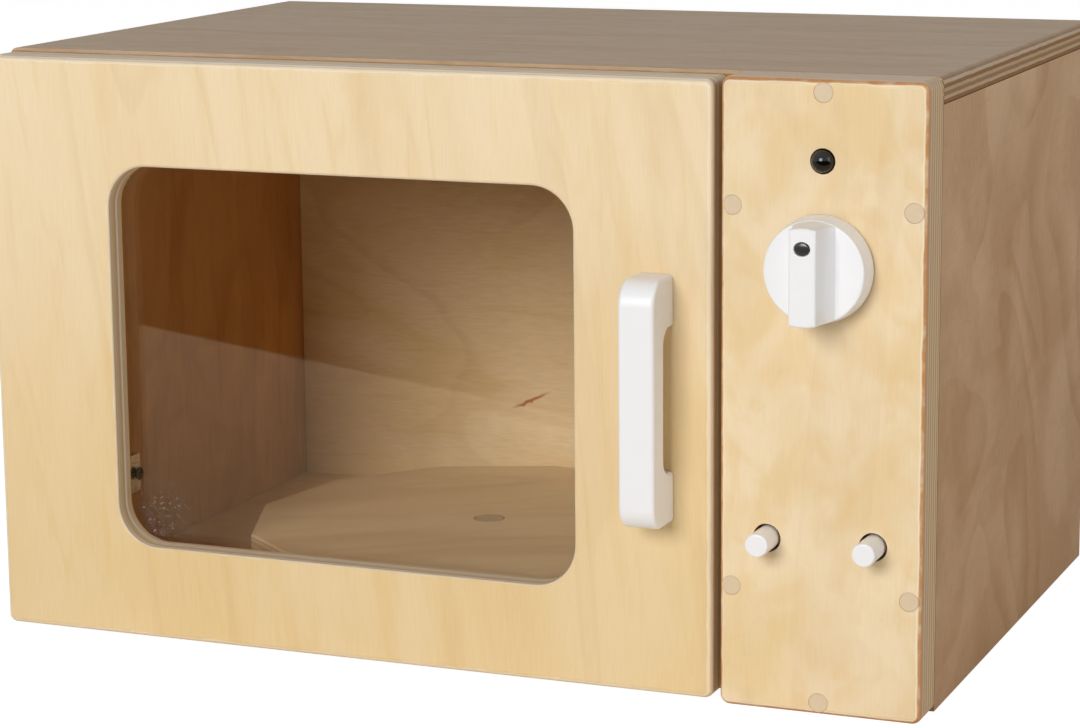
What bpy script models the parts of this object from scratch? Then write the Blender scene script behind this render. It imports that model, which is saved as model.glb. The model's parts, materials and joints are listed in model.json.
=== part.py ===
"""Wooden toy microwave.

A plywood case with a hinged door, a window, a bar handle, a knob, two sprung
buttons and a turntable. X runs to the right, Y to the rear and Z up, and the
origin is the middle of the underside. All lengths are in metres.
"""

import math

import bmesh
import bpy
from mathutils import Matrix, Vector

# Case of birch ply
CASE_WIDTH = 0.360
CASE_DEPTH = 0.248
CASE_HEIGHT = 0.220
WALL = 0.009
FRONT_PLY = 0.018
SEAM = 0.0003
EDGE_ROUND = 0.0028
CORNER_ROUND = 0.006
ARRIS = 0.0006
OVERRUN = 0.002

# Door
PANEL_WIDTH = 0.0725
DOOR_SIDE_GAP = 0.0025
DOOR_FOOT_GAP = 0.0015
DOOR_HEAD_GAP = 0.0013
DOOR_PROUD = 0.0007

# Window, with the width of the door's four rails around it
HINGE_RAIL = 0.0503
HANDLE_RAIL = 0.051
SILL_RAIL = 0.0352
HEAD_RAIL = 0.0389
WINDOW_CORNER = 0.0158
WINDOW_ROUND = 0.0012
REBATE_WIDTH = 0.008
REBATE_DEPTH = 0.008
PANE_THICKNESS = 0.003
PANE_PLAY = 0.0005

# Screws and plugs
BORE_PLAY = 0.0003
PLUG_RADIUS = 0.00315
PLUG_LENGTH = 0.006
PLUG_BEVEL = 0.0003
PLUG_RISE = 0.0435
PANEL_SCREW_LENGTH = 0.026
PANEL_SCREW_SHANK = 0.0018
SCREW_HEAD = 0.003
SCREW_HEAD_HEIGHT = 0.0022
PANE_SCREW_LENGTH = 0.010
PANE_SCREW_SHANK = 0.0011
PANE_SCREW_HEAD = 0.0022
PANE_SCREW_HEAD_HEIGHT = 0.0012
POINT_SHARE = 0.25

# Handle
HANDLE_WIDTH = 0.013
HANDLE_LENGTH = 0.087
HANDLE_PROUD = 0.020
HANDLE_BAR = 0.011
HANDLE_FOOT = 0.018
HANDLE_INSET = 0.0205
HANDLE_RISE = 0.108
HANDLE_END_ROUND = 0.009
HANDLE_FINGER_ROUND = 0.006
HANDLE_EDGE = 0.0014
HANDLE_SCREW_SHANK = 0.0019
HANDLE_SCREW_BITE = 0.011
HANDLE_SCREW_SINK = 0.0005

# Dome, knob and buttons
DOME_RADIUS = 0.004
DOME_PROUD = 0.0035
DOME_SINK = 0.0075
DOME_PLAY = 0.0004
DOME_DROP = 0.0275
KNOB_DROP = 0.0636
KNOB_RADIUS = 0.01835
KNOB_DRAFT = 0.00075
KNOB_DISC = 0.0087
KNOB_STANDOFF = 0.001
GRIP_HEIGHT = 0.0128
GRIP_FACE = 0.0095
GRIP_BASE = 0.0152
GRIP_INSET = 0.00165
GRIP_END_DRAFT = 0.0006
GRIP_ROUND = 0.0009
GRIP_FLARE_POWER = 3
MARKER_WIDTH = 0.0052
MARKER_HEIGHT = 0.0044
MARKER_DEPTH = 0.0008
MARKER_PROUD = 0.0003
MARKER_RISE = 0.0098
SPINDLE_RADIUS = 0.003
KNOB_SKIN = 0.0012
SPINDLE_SCREW_SHANK = 0.0012
SPINDLE_SCREW_LENGTH = 0.010
WASHER_RADIUS = 0.0065
WASHER_THICKNESS = 0.0015
BUTTON_RISE = 0.0615
BUTTON_WALL_GAP = 0.00185
BUTTON_RADIUS = 0.0041
BUTTON_PLAY = 0.0009
BUTTON_PROUD = 0.012
BUTTON_CHAMFER = 0.0006
BUTTON_TRAVEL = 0.008
COLLAR_RADIUS = 0.0065
COLLAR_THICKNESS = 0.003
STEM_RADIUS = 0.0028
STEM_TAIL = 0.002
SPRING_SOLID = 0.006
SPRING_WIRE = 0.0004
SPRING_PLAY = 0.0004
SPRING_TURNS = 5
SPRING_TURN_POINTS = 8
RAIL_HEIGHT = 0.018

# Turntable
TABLE_MARGIN = 0.01385
TABLE_SIDES = 12
TABLE_THICKNESS = 0.009
TABLE_EDGE = 0.0007
TABLE_SHIFT = 0.002
TABLE_TURN = math.radians(-144)
TABLE_PLUG_RADIUS = 0.006
TABLE_PLUG_THICKNESS = 0.0027
TABLE_SCREW_LENGTH = 0.017
TABLE_SCREW_SHANK = 0.002
TABLE_SCREW_HEAD = 0.004
TABLE_SCREW_HEAD_HEIGHT = 0.002
SPACER_HEIGHT = 0.0064
SPACER_RADIUS = 0.009

# Concealed hinges
HINGE_RISE = 0.049
CUP_INSET = 0.0225
CUP_RADIUS = 0.0175
CUP_WALL = 0.0015
CUP_DEPTH = 0.0115
CUP_FLOOR = 0.001
FLANGE_THICKNESS = 0.0006
FLANGE_WIDTH = 0.0025
PIN_RADIUS = 0.001
EYE_RADIUS = 0.0022
ARM_HALF_HEIGHT = 0.0075
ARM_SHEET = 0.0012
LINK_SHEET = 0.0012
LINK_PLAY = 0.0004
LINK_WIDTH = 0.002
TONGUE_HALF_HEIGHT = 0.0026
CUP_PIN_PLAY = 0.0013
CUP_PIN_RISE = 0.0073
TAIL_RADIUS = 0.0012
TAIL_STEP = 0.0032
NOSE_PLAY = 0.001
NOSE_PIN_RISE = 0.0053
NOSE_ROUND = 0.002
ARM_PIN_RISE = 0.0145
ARM_PIN_STEP = 0.0015
OUTER_LINK_LIFT = 0.0022
INNER_LINK_LIFT = 0.0009
OUTER_HOOK_SHARE = 0.82
INNER_HOOK_SHARE = 0.6
ARM_REACH = 0.045
ARM_CRANK_START = 0.0065
ARM_CRANK_END = 0.0185
ARM_LIFT = 0.015
PLATE_LENGTH = 0.022
PLATE_SCREW_LENGTH = 0.014
PLATE_SCREW_BITE = 0.0065
PLATE_SCREW_SHANK = 0.0014
PLATE_SCREW_HEAD = 0.0026
PLATE_SCREW_HEAD_HEIGHT = 0.0016
PLATE_SCREW_SHARES = (0.16, 0.50)
ARM_SCREW_SHARE = 0.84
ARM_SCREW_LENGTH = 0.009

# Facets and merging
FINE_STEPS = 32
ROUND_STEPS = 20
SMALL_STEPS = 10
CORNER_STEPS = 4
ROUND_SEGMENTS = 3
MERGE = 0.00002
SMOOTH_ANGLE = math.radians(35)
FLAT_ANGLE = math.radians(1)

# Places that follow from the sizes above
LEFT = -CASE_WIDTH / 2
RIGHT = CASE_WIDTH / 2
FRONT = -CASE_DEPTH / 2
REAR = CASE_DEPTH / 2
SHELL_FRONT = FRONT + FRONT_PLY + SEAM
SHELL_HEAD = CASE_HEIGHT - WALL
PANEL_LEFT = RIGHT - PANEL_WIDTH
PANEL_MIDDLE = RIGHT - PANEL_WIDTH / 2
PANEL_REAR = FRONT + FRONT_PLY
DIVIDER_MIDDLE = PANEL_LEFT + WALL / 2
DOOR_FRONT = FRONT - DOOR_PROUD
DOOR_REAR = DOOR_FRONT + FRONT_PLY
DOOR_WIDTH = CASE_WIDTH - PANEL_WIDTH - DOOR_SIDE_GAP
DOOR_HEIGHT = CASE_HEIGHT - DOOR_FOOT_GAP - DOOR_HEAD_GAP
WINDOW_WIDTH = DOOR_WIDTH - HINGE_RAIL - HANDLE_RAIL
WINDOW_HEIGHT = DOOR_HEIGHT - SILL_RAIL - HEAD_RAIL
DOME_RISE = CASE_HEIGHT - DOME_DROP
KNOB_RISE = CASE_HEIGHT - KNOB_DROP
GRIP_END = KNOB_RADIUS - GRIP_INSET
BUTTON_SPREAD = PANEL_WIDTH - 2 * (WALL + COLLAR_RADIUS + BUTTON_WALL_GAP)
SPRING_LENGTH = BUTTON_TRAVEL + SPRING_SOLID
OVEN_LEFT = LEFT + WALL
OVEN_REAR = REAR - WALL
TABLE_RADIUS = min(PANEL_LEFT - OVEN_LEFT, OVEN_REAR - SHELL_FRONT) / 2 - TABLE_MARGIN
PANE_FRONT = DOOR_REAR - REBATE_DEPTH + SEAM
HINGE_RISES = {"lower": HINGE_RISE, "upper": CASE_HEIGHT - HINGE_RISE}
FACINGS = {
    "up": (0, 0, 0),
    "front": (math.pi / 2, 0, 0),
    "rear": (-math.pi / 2, 0, 0),
    "right": (0, math.pi / 2, 0),
    "left": (0, -math.pi / 2, 0),
    "down": (math.pi, 0, 0),
}
COLOURS = {
    "birch": ((0.78, 0.64, 0.42), 0.45, 0.0),
    "plug_wood": ((0.62, 0.50, 0.36), 0.55, 0.0),
    "acrylic": ((0.90, 0.93, 0.93), 0.05, 0.0),
    "white_plastic": ((0.83, 0.83, 0.84), 0.35, 0.0),
    "black_plastic": ((0.02, 0.02, 0.02), 0.15, 0.0),
    "nickel": ((0.66, 0.65, 0.62), 0.30, 1.0),
    "zinc": ((0.62, 0.62, 0.60), 0.40, 1.0),
    "dark_screw": ((0.06, 0.06, 0.06), 0.45, 1.0),
}


def clear_scene():
    """Remove the objects that the file opened with."""
    for item in list(bpy.data.objects):
        bpy.data.objects.remove(item)


def make_collection(name):
    """Add a collection to the scene and return it."""
    group = bpy.data.collections.new(name)
    bpy.context.scene.collection.children.link(group)
    return group


def finish(name, kind):
    """Return a Principled material of one of the kinds in COLOURS."""
    colour, roughness, metallic = COLOURS[kind]
    paint = bpy.data.materials.new(name + "_" + kind)
    paint.use_nodes = True
    shader = paint.node_tree.nodes["Principled BSDF"]
    shader.inputs["Base Color"].default_value = (*colour, 1.0)
    shader.inputs["Roughness"].default_value = roughness
    shader.inputs["Metallic"].default_value = metallic
    return paint


def add_piece(name, mesh, kind):
    """Make a piece of the product from a mesh."""
    mesh.name = name
    piece = bpy.data.objects.new(name, mesh)
    mesh.materials.clear()
    mesh.materials.append(finish(name, kind))
    PARTS.objects.link(piece)
    return piece


def add_cutter(name, mesh):
    """Make a hidden cutting or joining body from a mesh."""
    mesh.name = name
    cutter = bpy.data.objects.new(name, mesh)
    cutter.hide_render = True
    cutter.display_type = "WIRE"
    CUTTERS.objects.link(cutter)
    return cutter


def stand(item, place, facing="up"):
    """Put an item at a place, with its own Z axis facing one of the six ways."""
    item.location = place
    item.rotation_euler = FACINGS[facing]
    return item


def carry(pieces, joint_name, axis_place):
    """Parent pieces to an empty that lies on their joint's axis."""
    hub = bpy.data.objects.new(joint_name + "_axis", None)
    hub.location = axis_place
    PARTS.objects.link(hub)
    for piece in pieces:
        piece.parent = hub
        piece.matrix_parent_inverse = Matrix.Translation(-Vector(axis_place))


def boolean(piece, other, operation):
    """Cut, join or trim a piece with another body."""
    step = piece.modifiers.new(other.name, "BOOLEAN")
    step.operation = operation
    step.solver = "EXACT"
    step.object = other


def cuboid_mesh(size):
    """Return a cube primitive stretched to a size, its middle at the origin."""
    mesh = bpy.data.meshes.new("cuboid")
    body = bmesh.new()
    bmesh.ops.create_cube(body, size=1)
    bmesh.ops.scale(body, vec=size, verts=body.verts)
    body.to_mesh(mesh)
    body.free()
    return mesh


def cylinder_mesh(radius, length, steps):
    """Return a cylinder that runs from the origin up its Z axis."""
    mesh = bpy.data.meshes.new("cylinder")
    body = bmesh.new()
    bmesh.ops.create_cone(
        body, cap_ends=True, segments=steps, radius1=radius, radius2=radius, depth=length)
    bmesh.ops.translate(body, vec=(0, 0, length / 2), verts=body.verts)
    body.to_mesh(mesh)
    body.free()
    return mesh


def turned_mesh(profile, steps):
    """Return a turned body. The profile is (radius, height) points, down its outer side."""
    line = bpy.data.meshes.new("profile")
    count = len(profile)
    closed = profile[0][0] > 0
    edges = [(i, (i + 1) % count) for i in range(count if closed else count - 1)]
    line.from_pydata([(radius, 0, height) for radius, height in profile], edges, [])
    lathe = bpy.data.objects.new("lathe", line)
    CUTTERS.objects.link(lathe)
    turn = lathe.modifiers.new("turn", "SCREW")
    turn.steps = steps
    turn.render_steps = steps
    turn.use_merge_vertices = True
    turn.merge_threshold = MERGE
    return settled_mesh(lathe)


def settled_mesh(item):
    """Turn an item with its modifiers into one plain mesh and remove the item."""
    view = bpy.context.evaluated_depsgraph_get()
    mesh = bpy.data.meshes.new_from_object(item.evaluated_get(view))
    bpy.data.objects.remove(item)
    body = bmesh.new()
    body.from_mesh(mesh)
    bmesh.ops.remove_doubles(body, verts=body.verts, dist=MERGE)
    body.to_mesh(mesh)
    body.free()
    mesh.materials.clear()
    mesh.shade_smooth()
    mesh.set_sharp_from_angle(angle=SMOOTH_ANGLE)
    return mesh


def outline_mesh(points, thickness):
    """Return a flat outline in XY made solid by a thickness, its middle plane at Z zero."""
    curve = bpy.data.curves.new("outline", "CURVE")
    curve.dimensions = "2D"
    curve.fill_mode = "BOTH"
    curve.extrude = thickness / 2
    spline = curve.splines.new("POLY")
    spline.points.add(len(points) - 1)
    for spot, (across, along) in zip(spline.points, points):
        spot.co = (across, along, 0, 1)
    spline.use_cyclic_u = True
    item = bpy.data.objects.new("outline", curve)
    CUTTERS.objects.link(item)
    mesh = settled_mesh(item)
    body = bmesh.new()
    body.from_mesh(mesh)
    bmesh.ops.dissolve_limit(body, angle_limit=FLAT_ANGLE, verts=body.verts, edges=body.edges)
    bmesh.ops.recalc_face_normals(body, faces=body.faces)
    body.to_mesh(mesh)
    body.free()
    return mesh


def rounded_outline(corners, steps=CORNER_STEPS):
    """Return outline points. Each corner is (x, y, radius), and a radius is drawn as an arc."""
    points = []
    for number, (across, along, radius) in enumerate(corners):
        corner = Vector((across, along))
        before = Vector(corners[number - 1][:2])
        after = Vector(corners[(number + 1) % len(corners)][:2])
        if radius <= 0:
            points.append((across, along))
            continue
        back = (before - corner).normalized()
        ahead = (after - corner).normalized()
        half = back.angle(ahead) / 2
        middle = corner + (back + ahead).normalized() * radius / math.sin(half)
        start = corner + back * radius / math.tan(half) - middle
        sweep = start.angle_signed(corner + ahead * radius / math.tan(half) - middle)
        for step in range(steps + 1):
            spoke = start.copy()
            spoke.rotate(Matrix.Rotation(-sweep * step / steps, 2))
            points.append((middle.x + spoke.x, middle.y + spoke.y))
    return points


def round_edges(mesh, radius, chosen, segments=ROUND_SEGMENTS):
    """Round the edges of a mesh that a test of (start, end) picks."""
    body = bmesh.new()
    body.from_mesh(mesh)
    picked = [edge for edge in body.edges if chosen(edge.verts[0].co, edge.verts[1].co)]
    bmesh.ops.bevel(
        body, geom=picked, offset=radius, offset_type="OFFSET", segments=segments,
        profile=0.5, affect="EDGES", clamp_overlap=True)
    body.to_mesh(mesh)
    body.free()


def ring_points(width, height, corner, steps=CORNER_STEPS):
    """Return the points of a rectangle with round corners, its middle at the origin."""
    across, along = width / 2, height / 2
    corners = [(-across, -along), (across, -along), (across, along), (-across, along)]
    return rounded_outline([(x, y, corner) for x, y in corners], steps)


def lofted_mesh(levels):
    """Return a body lofted through round-cornered rectangles.

    Each level is (depth, width, height, corner). The rings lie in XZ and the
    depths run along Y, from the front to the rear.
    """
    body = bmesh.new()
    rings = []
    for depth, width, height, corner in levels:
        points = ring_points(width, height, corner)
        rings.append([body.verts.new((x, depth, z)) for x, z in points])
    count = len(rings[0])
    for front, rear in zip(rings, rings[1:]):
        for i in range(count):
            j = (i + 1) % count
            body.faces.new((front[i], front[j], rear[j], rear[i]))
    body.faces.new(rings[0])
    body.faces.new(rings[-1])
    bmesh.ops.recalc_face_normals(body, faces=body.faces)
    mesh = bpy.data.meshes.new("loft")
    body.to_mesh(mesh)
    body.free()
    return mesh


def quarter_round(radius, segments=ROUND_SEGMENTS):
    """Return (depth, shrink) pairs of a rounded front edge, from the face to the side."""
    turns = [math.pi / 2 * step / segments for step in range(segments + 1)]
    return [(radius * (1 - math.sin(turn)), radius * (1 - math.cos(turn))) for turn in reversed(turns)]


def slab_mesh(width, height, thickness, corner, front_round, rear_round):
    """Return a board in XZ with its front face at Y zero and both faces' edges rounded."""
    levels = []
    for depth, shrink in quarter_round(front_round):
        levels.append((depth, width - 2 * shrink, height - 2 * shrink, corner - shrink))
    for depth, shrink in reversed(quarter_round(rear_round)):
        levels.append((thickness - depth, width - 2 * shrink, height - 2 * shrink, corner - shrink))
    return lofted_mesh(levels)


def drill(piece, name, place, facing, radius, length, steps=SMALL_STEPS):
    """Bore a round hole from a place in a piece's face, along the way that the tool faces."""
    back = Vector((0, 0, -OVERRUN))
    mesh = cylinder_mesh(radius, length + OVERRUN, steps)
    mesh.transform(Matrix.Translation(back))
    tool = stand(add_cutter("bore_" + name, mesh), place, facing)
    boolean(piece, tool, "DIFFERENCE")


def screw_profile(head, head_height, shank, length):
    """Return the turned profile of a screw whose head's top is at zero, pointing down."""
    point = length * POINT_SHARE
    return [
        (0, 0), (head * (1 - POINT_SHARE), 0), (head, -head_height * POINT_SHARE),
        (head, -head_height), (shank, -head_height), (shank, point - length), (0, -length)]


def add_screw(name, place, facing, head, head_height, shank, length, kind="zinc"):
    """Add a wood screw. The place is the middle of its head's face, which looks the way given."""
    mesh = turned_mesh(screw_profile(head, head_height, shank, length), SMALL_STEPS)
    return stand(add_piece(name, mesh, kind), place, facing)


def add_board(name, low, high, rounds=()):
    """Add a board between two corners. Rounds are (radius, test) pairs in world places."""
    low, high = Vector(low), Vector(high)
    middle = (low + high) / 2
    mesh = cuboid_mesh(high - low)
    for radius, test in rounds:
        round_edges(mesh, radius, lambda a, b, test=test: test(a + middle, b + middle))
    return stand(add_piece(name, mesh, "birch"), middle)


def both_at(index, value):
    """Return a test for edges that lie in the plane where one coordinate has a value."""
    return lambda a, b: abs(a[index] - value) < MERGE and abs(b[index] - value) < MERGE


def both(first, second):
    """Return a test that passes where two tests pass."""
    return lambda a, b: first(a, b) and second(a, b)


def either(*tests):
    """Return a test that passes where any of some tests passes."""
    return lambda a, b: any(test(a, b) for test in tests)


def upright(side, end):
    """Return a test for the upright edge in the corner of a side and an end plane."""
    return both(both_at(0, side), both_at(1, end))


def not_front(test):
    """Return a test that leaves out edges that touch the front plane of the case."""
    return lambda a, b: test(a, b) and not both_at(1, SHELL_FRONT)(a, b)


def make_case():
    """Add the six glued panels of the case and return them by name."""
    rear_corners = either(upright(LEFT, REAR), upright(RIGHT, REAR))
    top = add_board(
        "top_panel", (LEFT, SHELL_FRONT, SHELL_HEAD), (RIGHT, REAR, CASE_HEIGHT),
        [(EDGE_ROUND, rear_corners), (EDGE_ROUND, not_front(both_at(2, CASE_HEIGHT)))])
    sides = {}
    for name, outer, inner in (("left", LEFT, OVEN_LEFT), ("right", RIGHT, RIGHT - WALL)):
        sides[name] = add_board(
            name + "_side_panel", (min(outer, inner), SHELL_FRONT, 0),
            (max(outer, inner), REAR, SHELL_HEAD - SEAM),
            [(EDGE_ROUND, upright(outer, REAR)), (ARRIS, both(both_at(2, 0), both_at(0, outer)))])
    inside = (OVEN_LEFT + SEAM, RIGHT - WALL - SEAM)
    bottom = add_board(
        "bottom_panel", (inside[0], SHELL_FRONT, 0), (inside[1], OVEN_REAR - SEAM, WALL),
        [(ARRIS, both(both_at(1, SHELL_FRONT), both_at(2, WALL)))])
    back = add_board(
        "back_panel", (inside[0], OVEN_REAR, 0), (inside[1], REAR, SHELL_HEAD - SEAM),
        [(ARRIS, both(both_at(1, REAR), both_at(2, 0)))])
    divider = add_board(
        "divider_panel", (PANEL_LEFT, SHELL_FRONT, WALL + SEAM),
        (PANEL_LEFT + WALL, OVEN_REAR - SEAM, SHELL_HEAD - SEAM))
    return {"top": top, "bottom": bottom, "back": back, "divider": divider, **sides}


def make_control_panel(case):
    """Add the control panel, and its screws and the plugs over them."""
    mesh = slab_mesh(PANEL_WIDTH, CASE_HEIGHT, FRONT_PLY, CORNER_ROUND, EDGE_ROUND, ARRIS)
    panel = stand(add_piece("control_panel", mesh, "birch"), (PANEL_MIDDLE, FRONT, CASE_HEIGHT / 2))
    side_middle = RIGHT - WALL / 2
    seats = (
        (PANEL_MIDDLE, CASE_HEIGHT - WALL / 2, "top"),
        (DIVIDER_MIDDLE, CASE_HEIGHT - PLUG_RISE, "divider"),
        (side_middle, CASE_HEIGHT - PLUG_RISE, "right"),
        (DIVIDER_MIDDLE, PLUG_RISE, "divider"),
        (side_middle, PLUG_RISE, "right"),
        (PANEL_MIDDLE, WALL / 2, "bottom"))
    head_place = FRONT + PLUG_LENGTH + SEAM
    sink = PLUG_LENGTH + SCREW_HEAD_HEIGHT + 2 * SEAM
    bite = head_place + PANEL_SCREW_LENGTH - SHELL_FRONT + SEAM
    shank_bore = PANEL_SCREW_SHANK + BORE_PLAY
    for number, (across, up, board) in enumerate(seats, 1):
        label = str(number)
        front = (across, FRONT, up)
        drill(panel, "plug_" + label, front, "rear", PLUG_RADIUS + BORE_PLAY, sink, ROUND_STEPS)
        drill(panel, "screw_" + label, front, "rear", shank_bore, FRONT_PLY + OVERRUN)
        drill(case[board], "panel_" + label, (across, SHELL_FRONT, up), "rear", shank_bore, bite)
        mesh = cylinder_mesh(PLUG_RADIUS, PLUG_LENGTH, ROUND_STEPS)
        round_edges(mesh, PLUG_BEVEL, both_at(2, PLUG_LENGTH), 1)
        mesh.shade_smooth()
        mesh.set_sharp_from_angle(angle=SMOOTH_ANGLE)
        plug = add_piece("panel_plug_" + label, mesh, "plug_wood")
        stand(plug, (across, FRONT + PLUG_LENGTH, up), "front")
        add_screw(
            "panel_screw_" + label, (across, head_place, up), "front",
            SCREW_HEAD, SCREW_HEAD_HEIGHT, PANEL_SCREW_SHANK, PANEL_SCREW_LENGTH)
    return panel


def make_dome(panel):
    """Add the glossy dome in its blind hole."""
    drill(
        panel, "dome", (PANEL_MIDDLE, FRONT, DOME_RISE), "rear",
        DOME_RADIUS + DOME_PLAY, DOME_SINK + SEAM, ROUND_STEPS)
    rings = ROUND_STEPS // 4
    profile = []
    for ring in range(rings + 1):
        turn = math.pi / 2 * ring / rings
        profile.append((DOME_RADIUS * math.sin(turn), DOME_PROUD - DOME_RADIUS * (1 - math.cos(turn))))
    profile[0] = (0, DOME_PROUD)
    profile += [(DOME_RADIUS, -DOME_SINK), (0, -DOME_SINK)]
    dome = add_piece("indicator_dome", turned_mesh(profile, ROUND_STEPS), "black_plastic")
    stand(dome, (PANEL_MIDDLE, FRONT, DOME_RISE), "front")


def grip_outline():
    """Return the grip's section: a narrow face on a base that flares into the disc."""
    face, base = GRIP_FACE / 2, GRIP_BASE / 2
    foot = -KNOB_SKIN / 2
    flank = []
    steps = ROUND_STEPS // 4
    for step in range(steps + 1):
        share = step / steps
        across = face + (base - face) * share ** GRIP_FLARE_POWER
        flank.append((across, (GRIP_HEIGHT - GRIP_ROUND) * (1 - share)))
    right = [(face - GRIP_ROUND, GRIP_HEIGHT)] + flank + [(base, foot)]
    left = [(-across, up) for across, up in reversed(right)]
    return right + left


def make_knob(panel):
    """Add the knob with its grip, marker, spindle, washer and screw."""
    axis = Vector((PANEL_MIDDLE, FRONT, KNOB_RISE))
    rear = Vector((PANEL_MIDDLE, FRONT - KNOB_STANDOFF, KNOB_RISE))
    bore = SPINDLE_RADIUS + BORE_PLAY
    bore_end = KNOB_DISC - KNOB_SKIN
    profile = [
        (0, KNOB_DISC), (KNOB_RADIUS - KNOB_DRAFT - ARRIS, KNOB_DISC),
        (KNOB_RADIUS - KNOB_DRAFT, KNOB_DISC - ARRIS),
        (KNOB_RADIUS, 0), (bore, 0), (bore, bore_end), (0, bore_end)]
    knob = add_piece("control_knob", turned_mesh(profile, FINE_STEPS), "white_plastic")
    stand(knob, rear, "front")
    grip_mesh = outline_mesh(grip_outline(), 2 * KNOB_RADIUS)
    grip_mesh.transform(Matrix.Rotation(math.pi / 2, 4, "X"))
    grip = stand(add_cutter("grip", grip_mesh), rear - Vector((0, KNOB_DISC, 0)), "front")
    top = GRIP_HEIGHT + OVERRUN
    trim_profile = [
        (0, top), (GRIP_END - GRIP_ROUND - OVERRUN, top), (GRIP_END, GRIP_HEIGHT - GRIP_ROUND),
        (GRIP_END + GRIP_END_DRAFT, 0), (GRIP_END + GRIP_END_DRAFT, -KNOB_DISC), (0, -KNOB_DISC)]
    trim = stand(add_cutter("grip_trim", turned_mesh(trim_profile, FINE_STEPS)), grip.location, "front")
    boolean(grip, trim, "INTERSECT")
    boolean(knob, grip, "UNION")
    seat = rear + Vector((0, -KNOB_DISC - GRIP_HEIGHT, MARKER_RISE))
    pocket = cylinder_mesh(MARKER_WIDTH / 2 + BORE_PLAY, MARKER_DEPTH + SEAM + OVERRUN, ROUND_STEPS)
    pocket.transform(Matrix.Translation((0, 0, -MARKER_DEPTH - SEAM)))
    pocket.transform(Matrix.Diagonal((1, MARKER_HEIGHT / MARKER_WIDTH, 1, 1)))
    boolean(knob, stand(add_cutter("marker_pocket", pocket), seat, "front"), "DIFFERENCE")
    oval = cylinder_mesh(MARKER_WIDTH / 2, MARKER_DEPTH + MARKER_PROUD, ROUND_STEPS)
    oval.transform(Matrix.Translation((0, 0, -MARKER_DEPTH)))
    oval.transform(Matrix.Diagonal((1, MARKER_HEIGHT / MARKER_WIDTH, 1, 1)))
    round_edges(oval, PLUG_BEVEL, both_at(2, MARKER_PROUD), 1)
    marker = stand(add_piece("knob_marker", oval, "black_plastic"), seat, "front")
    drill(panel, "spindle", axis, "rear", bore, FRONT_PLY + OVERRUN, ROUND_STEPS)
    tail = FRONT_PLY + SEAM
    spindle_end = KNOB_STANDOFF + bore_end - SEAM
    screw_bore = SPINDLE_SCREW_SHANK + BORE_PLAY
    head_rise = WASHER_THICKNESS + SCREW_HEAD_HEIGHT + 2 * SEAM
    screw_depth = tail + head_rise - SPINDLE_SCREW_LENGTH - SEAM
    spindle_profile = [
        (0, spindle_end), (SPINDLE_RADIUS, spindle_end),
        (SPINDLE_RADIUS, -tail), (screw_bore, -tail), (screw_bore, -screw_depth), (0, -screw_depth)]
    spindle = add_piece("knob_spindle", turned_mesh(spindle_profile, ROUND_STEPS), "zinc")
    stand(spindle, axis, "front")
    washer_front = PANEL_REAR + 2 * SEAM
    washer_profile = [
        (WASHER_RADIUS, WASHER_THICKNESS), (WASHER_RADIUS, 0),
        (screw_bore, 0), (screw_bore, WASHER_THICKNESS)]
    washer = add_piece("knob_washer", turned_mesh(washer_profile, ROUND_STEPS), "zinc")
    stand(washer, (axis.x, washer_front, axis.z), "rear")
    screw = add_screw(
        "knob_screw", (axis.x, PANEL_REAR + SEAM + head_rise, axis.z), "rear",
        SCREW_HEAD, SCREW_HEAD_HEIGHT, SPINDLE_SCREW_SHANK, SPINDLE_SCREW_LENGTH)
    carry([knob, marker, spindle, washer, screw], "knob_turn", axis)


def make_spring(name, place, low, high):
    """Add a coil spring along the button's axis, between two heights behind the panel."""
    radius = STEM_RADIUS + SPRING_PLAY + SPRING_WIRE
    points = SPRING_TURNS * SPRING_TURN_POINTS
    curve = bpy.data.curves.new(name, "CURVE")
    curve.dimensions = "3D"
    curve.bevel_depth = SPRING_WIRE
    curve.bevel_resolution = 1
    curve.use_fill_caps = True
    spline = curve.splines.new("POLY")
    spline.points.add(points)
    start = low + SPRING_WIRE + SEAM
    rise = high - low - 2 * (SPRING_WIRE + SEAM)
    for number, spot in enumerate(spline.points):
        turn = math.tau * number / SPRING_TURN_POINTS
        height = start + rise * number / points
        spot.co = (radius * math.cos(turn), radius * math.sin(turn), height, 1)
    print(name, "least gap between turns", rise / SPRING_TURNS - 2 * SPRING_WIRE)
    item = bpy.data.objects.new("coil", curve)
    CUTTERS.objects.link(item)
    spring = add_piece(name, settled_mesh(item), "nickel")
    return stand(spring, place, "rear")


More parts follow.
